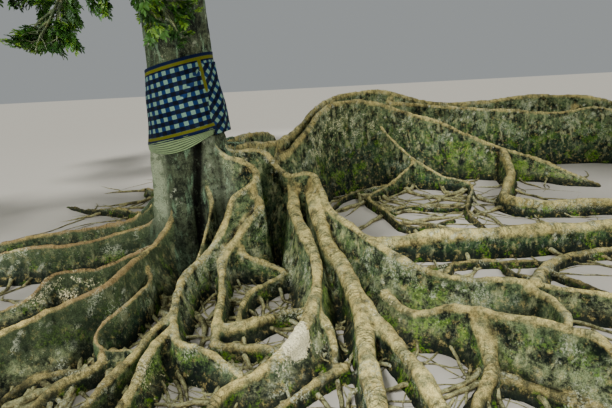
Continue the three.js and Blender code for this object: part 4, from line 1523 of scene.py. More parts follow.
@dataclass(frozen=True)
class Rootlets:
    """Fine roots that leave the main roots' feet and wander over the ground."""

    fringes: tuple[Fringe, ...] = (
        Fringe("left_rootlets", "left_long left_low left_third left_second", 0.2, 0.055, (0.009, 0.028)),
        Fringe(
            "front_rootlets", "front_left front_middle front_pillar front_long right_front right_low",
            0.26, 0.058, (0.009, 0.026),
        ),
        Fringe("left_runners", "left_long left_low", 0.45, 0.09, (0.02, 0.042)),
        Fringe(
            "right_rootlets", "right_tangle right_elbow right_log right_wave",
            0.5, 0.075, (0.012, 0.034),
        ),
        Fringe("tangle_runners", "right_tangle", 0.8, 0.12, (0.03, 0.05)),
        Fringe(
            "back_rootlets", "left_back back_left back_middle back_far back_right back_second",
            0.55, 0.075, (0.014, 0.04),
        ),
    )
    strides: tuple[int, int] = (9, 24)
    astray: float = 0.17
    lowest: float = 0.1
    tallest: float = 0.9
    closest: float = 0.8
    furthest: float = 9.0
    leaving: float = 1.1
    start_height: float = 0.05
    branch_share: float = 0.6
    branch_swing: Pair = (0.5, 1.0)
    scatter: float = 0.35
    seed: int = 23

    def rootlet(self, start: RootletStart, fringe: Fringe, random: Random) -> tuple[Array, Array]:
        """The places and girths of one wandering rootlet.

        Args:
            start: where it leaves its root.
            fringe: the fringe that it belongs to.
            random: the seeded generator.

        Returns:
            Its places and its girths.
        """
        place, bearing, foot = start
        count = int(random.integers(*self.strides))
        share = np.linspace(0, 1, count)
        ways = bearing + np.cumsum(random.normal(0, self.astray, count)) * (share > 0.15)
        steps = fringe.stride * np.stack([np.cos(ways), np.sin(ways)], -1)
        thick = random.uniform(*fringe.girths) * (1 - 0.92 * share**1.3)
        gone = np.arange(count) * fringe.stride
        bumps = 0.9 * thick * np.sin(gone / (9 * thick[0]) + bearing) ** 2
        height = place[2] * (1 - ease(gone, 0.5 * foot, 1.1 * foot)) + 0.25 * thick + bumps
        return np.column_stack([place[:2] + np.cumsum(steps, axis=0), height]), thick

    def branched(
        self, start: RootletStart, fringe: Fringe, random: Random
    ) -> list[tuple[Array, Array]]:
        """The places and girths of a rootlet and, often, of a thinner branch.

        Args:
            start: where it leaves its root.
            fringe: the fringe that it belongs to.
            random: the seeded generator.

        Returns:
            The places and girths of each.
        """
        path, thick = self.rootlet(start, fringe, random)
        found = [(path, thick)]
        if random.random() < self.branch_share:
            i = int(random.integers(len(path) // 3, 2 * len(path) // 3))
            way = path[i] - path[i - 1]
            swing = random.choice([-1, 1]) * random.uniform(*self.branch_swing)
            fork = RootletStart(path[i] * [1, 1, 0], math.atan2(way[1], way[0]) + swing, 0.01)
            branch, thin = self.rootlet(fork, fringe, random)
            thin = thin * 0.7 * thick[i] / thin[0]
            found.append((np.column_stack([branch[:, :2], 0.4 * thin]), thin))
        return found

    def starts(self, wall: Wall, spacing: float) -> list[RootletStart]:
        """Where rootlets leave a wall's foot, on alternate sides.

        Args:
            wall: the root's wall.
            spacing: how far apart they are.

        Returns:
            The rootlets' starts.
        """
        ridge = curve_through(wall.stations, spacing)
        way = unit(np.gradient(ridge[:, :2], axis=0))
        found = []
        for i, (place, ahead) in enumerate(zip(ridge, way)):
            far_out = np.hypot(*place[:2]) < self.closest or place[0] > self.furthest
            if far_out or not self.lowest < place[2] < self.tallest:
                continue
            side = 1 if i % 2 else -1
            bearing = math.atan2(ahead[1], ahead[0]) + side * self.leaving
            inside = np.array([place[0], place[1], min(0.25 * place[2], self.start_height)])
            found.append(RootletStart(inside, bearing, wall.foot / 2))
        return found

    def build(self, finish: BarkFinish) -> None:
        """Builds and declares each fringe.

        Args:
            finish: their bark.
        """
        tree = tube_tree("rootlets", finish.material(), 6)
        random = np.random.default_rng(self.seed)
        for fringe in self.fringes:
            grown = []
            for wall in (wall for name in fringe.roots() for wall in ROOTS[name]):
                for start in self.starts(wall, fringe.spacing):
                    start = start._replace(bearing=start.bearing + random.normal(0, self.scatter))
                    grown += self.branched(start, fringe, random)
            lines = lines_of(fringe.name, *zip(*grown))
            tree.put_on(lines)
            mesh = baked(lines, fringe.name)
            lain = places_of(mesh)
            lain[:, 2] = np.maximum(lain[:, 2], 0)
            mesh.vertices.foreach_set("co", lain.astype(np.float32).ravel())
            handed_in(placed(fringe.name, mesh), "root_bark", *fringe.roots())


class SheetPoints(NamedTuple):
    """Points of a sheet: shares across and up it, and bearings in radians."""

    across: Array
    up: Array
    bearing: Array


@dataclass(frozen=True)
class WrappedCloth:
    """The checked cloth wound round the trunk, its loose end and its lining."""

    trunk: Trunk
    low_edge: float = 1.64
    height: float = 0.9
    rise: float = 0.095
    stand_off: float = 0.006
    gauge: float = 0.003
    flap_bearing: float = -35.0
    overlap: float = 40.0
    flap_lean: float = -17.0
    lift: float = 0.016
    hem_swell: float = 0.004
    creasing: float = 0.01
    step: float = 0.011
    lining_turn: float = -359.5
    lining_off: float = 0.003
    lining_lean: float = 0.012
    lining_drop: float = 0.15
    lining_tuck: float = 0.02
    lining_deepest: float = -98.0
    pleats: float = 7.0
    pleat_depth: float = 0.014
    loose_bearings: Pair = (-46.0, 62.0)
    loose_turn: float = 38.0
    loose_low: float = -0.07
    loose_shorter: float = 0.12
    loose_off: float = 0.011
    loose_bulge: float = 0.06
    loose_folds: float = 0.009
    crease_ends: Pairs = ((-45.6, 0.83), (-91.0, 0.42))
    crease_depth: float = 0.014
    crease_width: float = 0.02
    crease_slip: float = 0.022

    def surface(self, bearing: Array, height: Array, out: Array) -> Array:
        """Places on the trunk's envelope."""
        level = self.low_edge + self.rise * np.cos(bearing) + height
        return self.trunk.ring(bearing, level, self.trunk.envelope(level) + out)

    def sheet(
        self,
        name: str,
        spread: Pair,
        rise: Pair,
        out: Callable[[SheetPoints], Array],
        skew: float = 0.0,
        turn: float = 0.0,
        drop: Callable[[Array], Array] | None = None,
        slip: Callable[[SheetPoints], Array] | None = None,
    ) -> Object:
        """A closed thin sheet with its own UV maps in metres.

        Args:
            name: the piece's name.
            spread: first and last bearing in degrees.
            rise: heights of its lower and upper edge above the slanting edge.
            out: how far it stands out at each point.
            skew: how far its ends lean, in degrees over its height.
            turn: how far its weave is turned, in degrees.
            drop: what share of the height from its upper edge it has at each bearing.
            slip: how far the weave is pulled sideways at each point.

        Returns:
            The piece.
        """
        width = math.radians(spread[1] - spread[0]) * self.girth
        columns = max(8, round(abs(width) / self.step))
        rows = max(48, round((rise[1] - rise[0]) / self.step))
        u, v = np.meshgrid(np.linspace(0, 1, columns), np.linspace(0, 1, rows), indexing="ij")
        bearing = np.radians(spread[0] + (spread[1] - spread[0]) * u + skew * (v - 0.5))
        at = SheetPoints(u, v, bearing)
        kept = drop(bearing) if drop else 1.0
        level = rise[1] - (rise[1] - rise[0]) * (1 - v) * kept
        away = out(at)
        outside = self.surface(bearing, level, away + self.gauge)
        inside = self.surface(bearing, level, away)
        count = columns * rows
        number = np.arange(count).reshape(columns, rows)
        corners = [number[:-1, :-1], number[1:, :-1], number[1:, 1:], number[:-1, 1:]]
        quads = np.stack(corners, -1).reshape(-1, 4)
        rim = np.concatenate([number[:, 0], number[-1, 1:], number[-2::-1, -1], number[0, -2::-1]])
        rim, ahead = rim[:-1], rim[1:]
        edge = np.stack([ahead, rim, rim + count, ahead + count], -1)
        faces = np.concatenate([quads, quads[:, ::-1] + count, edge])
        places = np.concatenate([outside.reshape(-1, 3), inside.reshape(-1, 3)])
        mesh = mesh_of(name, places, faces.tolist())
        self.point_outwards(mesh)
        # The pleats' height, which the lining's material turns into painted light and shade.
        store(mesh, "pleat", np.tile(self.pleat_height(at).ravel(), 2))
        c, s = math.cos(math.radians(turn)), math.sin(math.radians(turn))
        flat = np.stack([u * abs(width), level - rise[0]], -1).reshape(-1, 2)
        weave = flat @ np.array([[c, s], [-s, c]])
        if slip:
            weave = weave + np.stack([slip(at).ravel(), 0 * flat[:, 0]], -1)
        corner = numbers_of(mesh.loops, "vertex_index", np.int32).ravel()
        for uv_name, uv in (("cloth", weave), ("border", flat)):
            layer = mesh.uv_layers.new(name=uv_name)
            layer.data.foreach_set("uv", np.vstack([uv, uv])[corner].astype(np.float32).ravel())
        return placed(name, mesh)

    @property
    def girth(self) -> float:
        """The trunk's radius under the middle of the cloth."""
        return float(self.trunk.envelope(np.array(self.low_edge + self.height / 2)))

    def crease(self, at: SheetPoints) -> tuple[Array, Array]:
        """The long slanting crease.

        Args:
            at: the sheet's points.

        Returns:
            The distance across the crease in its own widths, and its share of full depth.
        """
        ends = [np.array([math.radians(b) * self.girth, self.height * s]) for b, s in self.crease_ends]
        length = norm(ends[1] - ends[0])
        axis = (ends[1] - ends[0]) / length
        offset = np.stack([at.bearing * self.girth, self.height * at.up], -1) - ends[0]
        walked = offset @ axis
        off = offset @ np.array([-axis[1], axis[0]]) / self.crease_width
        return off, ease(walked, -0.03, 0.05) * (1 - ease(walked, length - 0.15, length))

    def slipped(self, at: SheetPoints) -> Array:
        """How far the weave is pulled into the crease."""
        off, share = self.crease(at)
        return self.crease_slip * share * off * np.exp(-((off / 2) ** 2))

    @staticmethod
    def point_outwards(mesh: Mesh) -> None:
        """Recalculates a closed mesh's normals so that they point out.

        Args:
            mesh: the mesh.
        """
        shape = bmesh.new()
        shape.from_mesh(mesh)
        bmesh.ops.recalc_face_normals(shape, faces=shape.faces)
        shape.to_mesh(mesh)
        shape.free()

    @staticmethod
    def creases(at: SheetPoints) -> Array:
        """Shallow slanting creases, from 0 to 1.

        Args:
            at: the sheet's points.

        Returns:
            One share for each point.
        """
        _, up, bearing = at
        slant = np.sin(7 * bearing + 5.5 * up) * np.sin(3 * bearing - 4 * up + 1)
        small = np.sin(19 * bearing - 11 * up + 2 * np.sin(5 * up))
        return 0.5 + 0.35 * slant + 0.15 * small

    def wrap_out(self, at: SheetPoints) -> Array:
        """How far the wound cloth stands out: each turn lies over the last.

        Args:
            at: the sheet's points.

        Returns:
            The distance at each point.
        """
        hem = self.hem_swell * sum(np.exp(-((share * 30) ** 2)) for share in (at.up, 1 - at.up))
        off, share = self.crease(at)
        fold = share * self.crease_depth * (np.exp(-((off - 1.7) ** 2)) - np.exp(-(off**2)))
        wound = self.stand_off + self.lift * (1 - at.across)
        return wound + self.creasing * self.creases(at) + hem + fold

    def loose_out(self, at: SheetPoints) -> Array:
        """How far the loose end stands out, fullest low down in its middle.

        Args:
            at: the sheet's points.

        Returns:
            The distance at each point.
        """
        full = np.sin(math.pi * np.clip(1 - at.across, 0, 1)) * (1 - 0.85 * ease(at.up, 0.15, 1.0))
        folds = self.loose_folds * np.sin(24 * at.across + 9 * at.up) * np.sin(math.pi * at.across)
        return self.stand_off + self.loose_off + self.loose_bulge * full + folds

    def lining_out(self, at: SheetPoints) -> Array:
        """How far the lining stands out, with long drooping pleats."""
        return self.lining_off + self.pleat_depth * self.pleat_height(at) + self.lining_lean * at.up

    def pleat_height(self, at: SheetPoints) -> Array:
        """Height of the lining's pleats, from 0 to 1, which fan out from where it is short."""
        return np.abs(np.sin(math.pi * (self.pleats * at.up + 0.35 * np.sin(3 * at.bearing + 4 * at.up))))

    def lining_drops(self, bearing: Array) -> Array:
        """What share of its full height the lining has at each bearing."""
        return 0.2 + 0.8 * (0.5 + 0.5 * np.cos(bearing - math.radians(self.lining_deepest))) ** 4

    def build(self, checks: CheckedCloth, lining: LiningCloth) -> None:
        """Args:
            checks: the checked cloth's finish.
            lining: the lining's finish.
        """
        turn = 360 + self.overlap
        spread = (self.flap_bearing, self.flap_bearing - turn)
        rise = (0.0, self.height)
        lean = self.flap_lean
        wrap = self.sheet("checked_wrap", spread, rise, self.wrap_out, lean, slip=self.slipped)
        wrap.data.materials.append(checks.material(self.height))
        handed_in(wrap, "cloth_checked", "cloth_wrap")
        spread = self.loose_bearings[::-1]
        rise = (self.loose_low, self.height - self.loose_shorter)
        loose = self.sheet("checked_loose_end", spread, rise, self.loose_out, lean, self.loose_turn)
        plain = CheckedCloth("checked_cotton_loose", edge=-1.0, band=0.0, hem=-1.0)
        loose.data.materials.append(plain.material(rise[1] - rise[0]))
        handed_in(loose, "cloth_checked", "cloth_wrap")
        spread, rise = (0.0, self.lining_turn), (-self.lining_drop, self.lining_tuck)
        under = self.sheet("pleated_lining", spread, rise, self.lining_out, drop=self.lining_drops)
        under.data.materials.append(lining.material())
        handed_in(under, "cloth_lining", "cloth_lining")


@dataclass(frozen=True)
class MassRule:
    """Radii of a kind of mass, how far ahead of its limb it sits, its lift and its leaves' size."""

    radii: Triple
    ahead: float
    lift: float
    leaf_share: float = 1.0


class Masses(Enum):
    """The kinds of mass."""

    OUTER = MassRule((3.4, 3.4, 2.6), 2.0, -0.15)
    UPPER = MassRule((3.4, 3.4, 2.6), 1.8, 0.2)
    TOP = MassRule((3.9, 3.9, 2.7), 1.9, 0.1)
    LOW = MassRule((1.75, 0.9, 1.15), 0.6, -0.85, 0.8)


@dataclass(frozen=True)
class LimbRule:
    """Length, climb in degrees from start to end, radii and the mass of one kind of limb."""

    length: float
    climb: Pair
    radii: Pair
    carries: Masses | None = None


class Limbs(Enum):
    """The kinds of limb."""

    LEADER = LimbRule(6.6, (84, 78), (0.25, 0.11), Masses.TOP)
    MAIN = LimbRule(3.3, (58, 36), (0.235, 0.165))
    OUTER = LimbRule(3.0, (26, -4), (0.14, 0.085), Masses.OUTER)
    UPPER = LimbRule(2.9, (66, 54), (0.13, 0.08), Masses.UPPER)
    LOW = LimbRule(0.85, (24, 10), (0.085, 0.06), Masses.LOW)


class Limb(NamedTuple):
    """One tapering limb: its name, its path and its kind's rule."""

    name: str
    path: Array
    rule: LimbRule


@dataclass(frozen=True)
class Mass:
    """The space of one mass of leaves ahead of its limb's tip, with its own random draws."""

    name: str
    limb: Limb
    onward: Array
    centre: Array
    reach: Array
    size: float
    leaf_size: float
    random: Random
    neighbours: list["Mass"]

    def depth(self, places: Array, gap: float) -> Array:
        """How far inside places lie, up to the planes shared with the neighbours.

        Args:
            places: places, one row each.
            gap: how far it keeps from each plane.

        Returns:
            The depth at each place, below 0 outside.
        """
        offset = places - self.centre
        depth = (1 - norm(offset / self.reach, axis=1)) * self.reach[2]
        for other in self.neighbours:
            if other is not self:
                between = other.centre - self.centre
                span = norm(between)
                share = span * self.reach[0] / (self.reach[0] + other.reach[0])
                depth = np.minimum(depth, share - offset @ between / span - gap)
        return depth


def heading(bearing: float, climb: float) -> Array:
    """A unit vector from a bearing and a climb in degrees."""
    b, c = math.radians(bearing), math.radians(climb)
    return np.array([math.cos(c) * math.cos(b), math.cos(c) * math.sin(b), math.sin(c)])


@dataclass(frozen=True)
class Boughs:
    """The limbs between the fork and the masses of leaves."""

    trunk: Trunk
    skin: BarkSkin = BarkSkin(0.03, 4, 0.5, broad=0.03, folds=0.014, grain=0.0)
    start_height: float = 4.45
    lap: float = 0.2
    steps: int = 4
    wander: float = 5.0
    wander_turn: float = 2.1
    fork_height: float = 4.7
    sink: float = 0.18
    bearings: tuple[float, ...] = (38.0, 124.0, 216.0, 305.0)
    leader_bearing: float = 70.0
    outer_swing: tuple[float, ...] = (-25.0, 25.0)
    upper_swing: float = 4.0
    low_height: float = 4.05
    low_bearing: float = -97.0

    def limb(self, name: str, start: Array, bearing: float, kind: Limbs) -> Limb:
        """A limb marched from its start, turning from one climb to the other.

        Args:
            name: its name.
            start: where it starts.
            bearing: its bearing in degrees.
            kind: its kind.

        Returns:
            The limb.
        """
        first, last = kind.value.climb
        path = [start]
        for i in range(self.steps):
            rise = first + (last - first) * i / (self.steps - 1)
            wander = self.wander * math.sin(self.wander_turn * i + bearing)
            path.append(path[-1] + heading(bearing + wander, rise) * kind.value.length / self.steps)
        return Limb(name, np.array(path), kind.value)

    def limbs(self) -> list[Limb]:
        """Every limb, in the order that they grow, the low one last.

        Returns:
            The limbs.
        """
        fork = np.append(self.trunk.middle(self.fork_height), self.fork_height)
        made = [self.limb("bough_leader", fork, self.leader_bearing, Limbs.LEADER)]
        for i, bearing in enumerate(self.bearings, 1):
            made.append(self.limb(f"bough_main_{i}", fork, bearing, Limbs.MAIN))
            path = made[-1].path
            tip = path[-1] + unit(path[-2] - path[-1]) * self.sink
            for k, swing in enumerate(self.outer_swing, 2 * i - 1):
                made.append(self.limb(f"limb_outer_{k}", tip, bearing + swing, Limbs.OUTER))
            made.append(self.limb(f"limb_upper_{i}", tip, bearing + self.upper_swing, Limbs.UPPER))
        side = np.append(self.trunk.middle(self.low_height), self.low_height)
        out = self.trunk.radius(np.radians(self.low_bearing), np.array(self.low_height)) - self.sink
        side = side + heading(self.low_bearing, 0) * out
        return made + [self.limb("limb_low", side, self.low_bearing, Limbs.LOW)]

    def shell(self, limb: Limb, sides: int = 20, step: float = 0.05) -> Shell:
        """A limb's skin.

        Args:
            limb: the limb.
            sides: how many sides it has.
            step: about how far apart its rings are.

        Returns:
            The skin.
        """
        line = curve_through(limb.path, step)
        ahead = unit(np.gradient(line, axis=0))
        chord = unit(limb.path[-1] - limb.path[0])
        reference = np.array([1.0, 0, 0]) if abs(chord[2]) > 0.85 else UP
        side = unit(np.cross(ahead, reference))
        over = np.cross(side, ahead)
        angles = np.linspace(0, TURN, sides, endpoint=False)
        share = np.linspace(0, 1, len(line))[:, None]
        first, last = limb.rule.radii
        radius = first + (last - first) * share
        radius = radius * (1 + 0.05 * np.sin(3 * angles + 9 * share) + 0.03 * np.sin(40 * share))
        ring = side[:, None] * (radius * np.sin(angles))[..., None]
        ring = ring + over[:, None] * (radius * np.cos(angles))[..., None]
        return Shell(line[:, None] + ring)

    def low_shell(self) -> Shell:
        """The skin of the low limb, which leaves the trunk under the boughs."""
        return self.shell(self.limbs()[-1])

    def build(self, finish: BarkFinish) -> list[Limb]:
        """Args:
            finish: the bark.

        Returns:
            The limbs.
        """
        limbs = self.limbs()
        high = limbs[:-1]
        shells = [self.trunk.shell(self.start_height - self.lap, self.trunk.top, self.skin.voxel * 1.5)]
        shells += [self.shell(limb) for limb in high]
        mesh = self.skin.grown("boughs", shells)
        cut_level(mesh, self.start_height, keep_above=True)
        places = places_of(mesh)
        for name in ("rim", "hollow", "patch", "moss", "fall"):
            store(mesh, name, np.zeros(len(places)))
        store(mesh, "run", places[:, 2])
        piece = placed("boughs_bark", mesh)
        piece.data.materials.append(finish.material())
        handed_in(piece, "bough_bark", *[limb.name for limb in high])
        return limbs


class Shoots(NamedTuple):
    """Many straight shoots of one order: starts, ends and radii, one row each."""

    start: Array
    end: Array
    radius: Array

    def steps(self, share: Array) -> tuple[Array, Array]:
        """Places at shares of every shoot's length, and the shoot's direction at each."""
        axis = self.end - self.start
        places = self.start[:, None] + axis[:, None] * share[None, :, None]
        return places.reshape(-1, 3), np.repeat(unit(axis), len(share), axis=0)


@dataclass(frozen=True)
class TwigOrder:
    """One order of twigs: how many leave each shoot, from where, how long and how astray."""

    count: int
    first: float
    length: float
    stray: float
    radius: float


@dataclass(frozen=True)
class Crown:
    """The masses of leaves, grown from each limb's tip by the solids' rule."""

    trunk: Trunk
    limbs: list[Limb]
    box: Array
    box_gap: float = 0.12
    tries: int = 6
    drawn_in: float = 0.75
    neighbour: float = 0.025
    limb_gap: float = 0.06
    tip_reach: float = 0.80
    stem_share: float = 0.55
    stem_gap: float = 0.0003
    boughlets: int = 11
    boughlet_radius: float = 0.045
    boughlet_margin: float = 0.1
    lengths: Pair = (0.75, 1.15)
    orders: tuple[TwigOrder, ...] = (
        TwigOrder(8, 0.28, 1.25, 0.75, 0.013),
        TwigOrder(6, 0.3, 0.55, 0.9, 0.006),
    )
    onward: float = 0.7
    outward: float = 0.35
    sprays_per_twig: int = 5
    first_spray: float = 0.25
    spray_stray: float = 0.8
    droop: float = 0.15
    face_stray: float = 0.5
    tone_shares: Triple = (0.35, 0.42, 0.23)
    spray_length: float = 0.34
    spray_room: float = 0.8
    spray_sizes: Pair = (0.8, 1.15)
    edge: float = 0.28
    leaf_length: float = 0.145
    leaf_width: float = 0.062
    leaf_fold: float = 0.25
    leaf_widest: float = 0.38
    leaf_shoulder: float = 0.74
    shoulder_share: float = 0.72
    leaves_per_spray: int = 9
    first_seed: int = 101

    def masses(self) -> list[Mass]:
        """Every mass's space.

        Returns:
            The masses.
        """
        made = []
        for limb in self.limbs:
            if limb.rule.carries is None:
                continue
            rule = limb.rule.carries.value
            onward = unit(limb.path[-1] - limb.path[-2])
            centre = limb.path[-1] + onward * rule.ahead + UP * rule.lift
            name = "foliage_" + limb.name.split("_", 1)[1]
            size = rule.radii[2] / Masses.OUTER.value.radii[2]
            leaf_size = rule.leaf_share * size
            random = np.random.default_rng(self.first_seed + len(made))
            reach = np.array(rule.radii)
            made.append(Mass(name, limb, onward, centre, reach, size, leaf_size, random, made))
        return made

    def clear_of_limbs(self, places: Array) -> Array:
        """Distance from places to the nearest skin of the trunk or a limb.

        Args:
            places: places, one row each.

        Returns:
            The distance at each place.
        """
        level = np.clip(places[:, 2], 0, self.trunk.top)
        from_trunk = self.trunk.around(places)[1] - self.trunk.envelope(level)
        nearest = np.where(places[:, 2] < self.trunk.top, from_trunk, np.inf)
        for limb in self.limbs:
            for a, b in zip(limb.path, limb.path[1:]):
                along_it = np.clip((places - a) @ (b - a) / ((b - a) @ (b - a)), 0, 1)
                gap = norm(places - a - along_it[:, None] * (b - a), axis=1)
                nearest = np.minimum(nearest, gap - limb.rule.radii[0])
        return nearest

    def free(self, places: Array) -> Array:
        """Which places are clear of the limbs and inside the solids' box."""
        in_box = np.all((places > self.box[0] + self.box_gap) & (places < self.box[1] - self.box_gap), axis=1)
        return in_box & (self.clear_of_limbs(places) > self.limb_gap)

    def kept_inside(self, mass: Mass, shoots: Shoots, margin: float) -> Shoots:
        """Shoots drawn in until they stay in the mass's space, without those that can't.

        Args:
            mass: the mass.
            shoots: the shoots.
            margin: how deep inside their ends stay.

        Returns:
            The shoots that stay.
        """
        end = shoots.end.copy()
        free = np.zeros(len(end), bool)
        for _ in range(self.tries):
            free = (mass.depth(end, self.neighbour) > margin) & self.free(end)
            end = np.where(free[:, None], end, shoots.start + self.drawn_in * (end - shoots.start))
        return Shoots(shoots.start[free], end[free], shoots.radius[free])

    def first_shoots(self, mass: Mass) -> Shoots:
        """The boughlets from a mass's centre, spread evenly over its space.

        Args:
            mass: the mass.

        Returns:
            The boughlets.
        """
        n = np.arange(self.boughlets)
        height = 1 - 2 * (n + 0.5) / self.boughlets
        bearing = math.pi * (3 - math.sqrt(5)) * n + TURN * mass.random.random()
        level = np.sqrt(1 - height**2)
        way = np.stack([level * np.cos(bearing), level * np.sin(bearing), height], -1)
        start = np.repeat(mass.centre[None], len(n), axis=0)
        end = mass.centre + way * mass.reach * self.tip_reach
        return Shoots(start, end, np.full(len(n), self.boughlet_radius * mass.size))

    def next_shoots(self, parents: Shoots, order: TwigOrder, mass: Mass) -> Shoots:
        """The shoots of the next order, which leave their parents at even steps.

        Args:
            parents: the shoots that they leave.
            order: the order's rule.
            mass: the mass.

        Returns:
            The new shoots.
        """
        start, ahead = parents.steps(np.linspace(order.first, 1, order.count))
        stray = unit(mass.random.normal(size=start.shape))
        away = unit(start - mass.centre + 1e-6)
        way = unit(ahead * self.onward + away * self.outward + stray * order.stray)
        length = order.length * mass.size * mass.random.uniform(*self.lengths, len(start))
        return Shoots(start, start + way * length[:, None], np.full(len(start), order.radius))

    def skeleton(self, name: str, orders: list[Shoots], stem: tuple[Array, float]) -> Object:
        """Lines with the girth of every shoot, for the tree that makes twigs of them.

        Args:
            name: its name.
            orders: the shoots of each order.
            stem: the path from the limb's tip, and its girth.

        Returns:
            The lines.
        """
        path, thick = stem
        paths, girths = [path], [np.linspace(thick, thick * 0.6, len(path))]
        for shoots in orders:
            bend = (shoots.start + shoots.end) / 2 + UP * 0.03
            paths += list(np.stack([shoots.start, bend, shoots.end], 1))
            girths += list(shoots.radius[:, None] * np.array([1.0, 0.8, 0.45]))
        return lines_of(name, paths, girths)

    def leaf(self, root: Array, way: Array, size: float) -> Array:
        """The six corners of a folded leaf, from its root round its outline to its tip.

        Args:
            root: where it starts.
            way: its direction.
            size: its scale.

        Returns:
            Its corners.
        """
        side = unit(np.cross(UP[[2, 1, 0]], way))
        fold = np.array([self.leaf_fold, 0, 0]) * self.leaf_width * size
        length = self.leaf_length * size
        half = side * (self.leaf_width / 2) * size
        wide = root + way * self.leaf_widest * length
        narrow = root + way * self.leaf_shoulder * length
        slim = half * self.shoulder_share
        tip = root + way * length
        right = [wide + half + fold, narrow + slim + fold]
        left = [narrow - slim + fold, wide - half + fold]
        return np.array([root, *right, tip, *left])

    def spray(self) -> Object:
        """A flat spray of leaves along a short twig that points up its own Z.

        Returns:
            The spray, which is removed once it has been dealt out.
        """
        random = np.random.default_rng(7)
        corners = []
        for n in range(self.leaves_per_spray):
            share = (n + 1) / self.leaves_per_spray
            slant = 0 if n == self.leaves_per_spray - 1 else (-1) ** n * random.uniform(0.7, 1.05)
            way = np.array([random.uniform(-0.35, 0.1), math.sin(slant), math.cos(slant)])
            root = np.array([0, 0, share * (self.spray_length - self.leaf_length)])
            corners.append(self.leaf(root, unit(way), random.uniform(0.8, 1.15)))
        places = np.vstack(corners)
        first = 6 * np.arange(self.leaves_per_spray)[:, None]
        faces = np.vstack([first + [0, 1, 2, 3], first + [0, 3, 4, 5]])
        spray = placed("leaf_spray", mesh_of("leaf_spray", places, faces))
        spray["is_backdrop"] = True
        return spray

    def spray_tree(self, spray: Object) -> GeometryGraph:
        """A tree that puts a spray on every point, along its own direction.

        Args:
            spray: the spray.

        Returns:
            The tree.
        """
        g = GeometryGraph("leaf_sprays", {"Spray scale": 1.0})
        shape = g.add("GeometryNodeObjectInfo", {"Object": spray}).outputs["Geometry"]
        turn: Value = (0.0, 0.0, 0.0)
        for name, axis, pivot in (("aim", "Z", "AUTO"), ("face", "X", "Z")):
            inputs = {"Rotation": turn, "Vector": g.attribute(name, "FLOAT_VECTOR")}
            kind = "FunctionNodeAlignRotationToVector"
            turn = g.out(kind, inputs, axis=axis, pivot_axis=pivot)
        size = g.attribute("size") * g.inputs["Spray scale"]
        points = g.out("GeometryNodeMeshToPoints", {"Mesh": g.inputs["Geometry"]})
        inputs = {"Points": points, "Instance": shape, "Rotation": turn, "Scale": size}
        made = g.out("GeometryNodeInstanceOnPoints", inputs)
        tones = {i: tone.value.material() for i, tone in enumerate(LeafTone)}
        g.end(made, tones)
        return g

    def build(self, twig_finish: BarkFinish) -> None:
        """Builds and declares every mass's twigs and leaves.

        Args:
            twig_finish: the twigs' bark.
        """
        spray = self.spray()
        twig_tree = tube_tree("twigs", twig_finish.material(), 5)
        spray_tree = self.spray_tree(spray)
        for mass in self.masses():
            shoots = self.kept_inside(mass, self.first_shoots(mass), self.boughlet_margin)
            orders = [shoots]
            for order in self.orders:
                shoots = self.next_shoots(shoots, order, mass)
                margin = self.spray_length * self.spray_room * mass.leaf_size
                shoots = self.kept_inside(mass, shoots, margin)
                orders.append(shoots)
            tip = mass.limb.path[-1] + mass.onward * self.stem_gap
            bend = tip + mass.onward * self.stem_share * norm(mass.centre - tip)
            stem = (np.array([tip, bend, mass.centre]), mass.limb.rule.radii[1])
            wood = self.skeleton(mass.name, orders, stem)
            leaves = self.leaf_points(mass, shoots)
            for start, tree, part, slot in (
                (wood, twig_tree, "twigs", "bough_bark"), (leaves, spray_tree, "leaves", "foliage"),
            ):
                tree.put_on(start)
                name = f"{mass.name}_{part}"
                handed_in(placed(name, baked(start, name)), slot, mass.name)
        bpy.data.objects.remove(spray)

    def leaf_points(self, mass: Mass, shoots: Shoots) -> Object:
        """Points for the sprays of a mass, with their direction, face, size and tone.

        Args:
            mass: the mass.
            shoots: the finest twigs.

        Returns:
            The points.
        """
        random = mass.random
        count = round(self.sprays_per_twig / mass.leaf_size)
        start, ahead = shoots.steps(np.linspace(self.first_spray, 1, count))
        stray = unit(random.normal(size=start.shape))
        aim = unit(ahead + self.spray_stray * stray - self.droop * UP)
        size = random.uniform(*self.spray_sizes, len(start)) * mass.leaf_size
        tip = start + aim * (size * self.spray_length)[:, None]
        inside = mass.depth(tip, self.neighbour) > self.edge * mass.leaf_size
        inside &= self.free(tip)
        start, aim, size = start[inside], aim[inside], size[inside]
        mesh = mesh_of(mass.name, start)
        store(mesh, "aim", aim, "FLOAT_VECTOR")
        store(mesh, "face", UP + self.face_stray * unit(random.normal(size=start.shape)), "FLOAT_VECTOR")
        store(mesh, "size", size)
        store(mesh, "tone", random.choice(len(LeafTone), len(start), p=self.tone_shares))
        return placed(mass.name, mesh)


class Lamp(NamedTuple):
    """A soft square lamp: where it hangs, the point that it faces, its watts and its side."""

    name: str
    place: Triple
    aim: Triple
    power: float
    side: float

    def hang(self) -> None:
        """Puts the lamp in the scene."""
        light = bpy.data.lights.new(self.name, "AREA")
        light.energy = self.power
        light.size = self.side
        lamp = placed(self.name, light)
        lamp.location = self.place
        away = Vector(self.aim) - Vector(self.place)
        lamp.rotation_euler = away.to_track_quat("-Z", "Y").to_euler()
        lamp.visible_camera = False


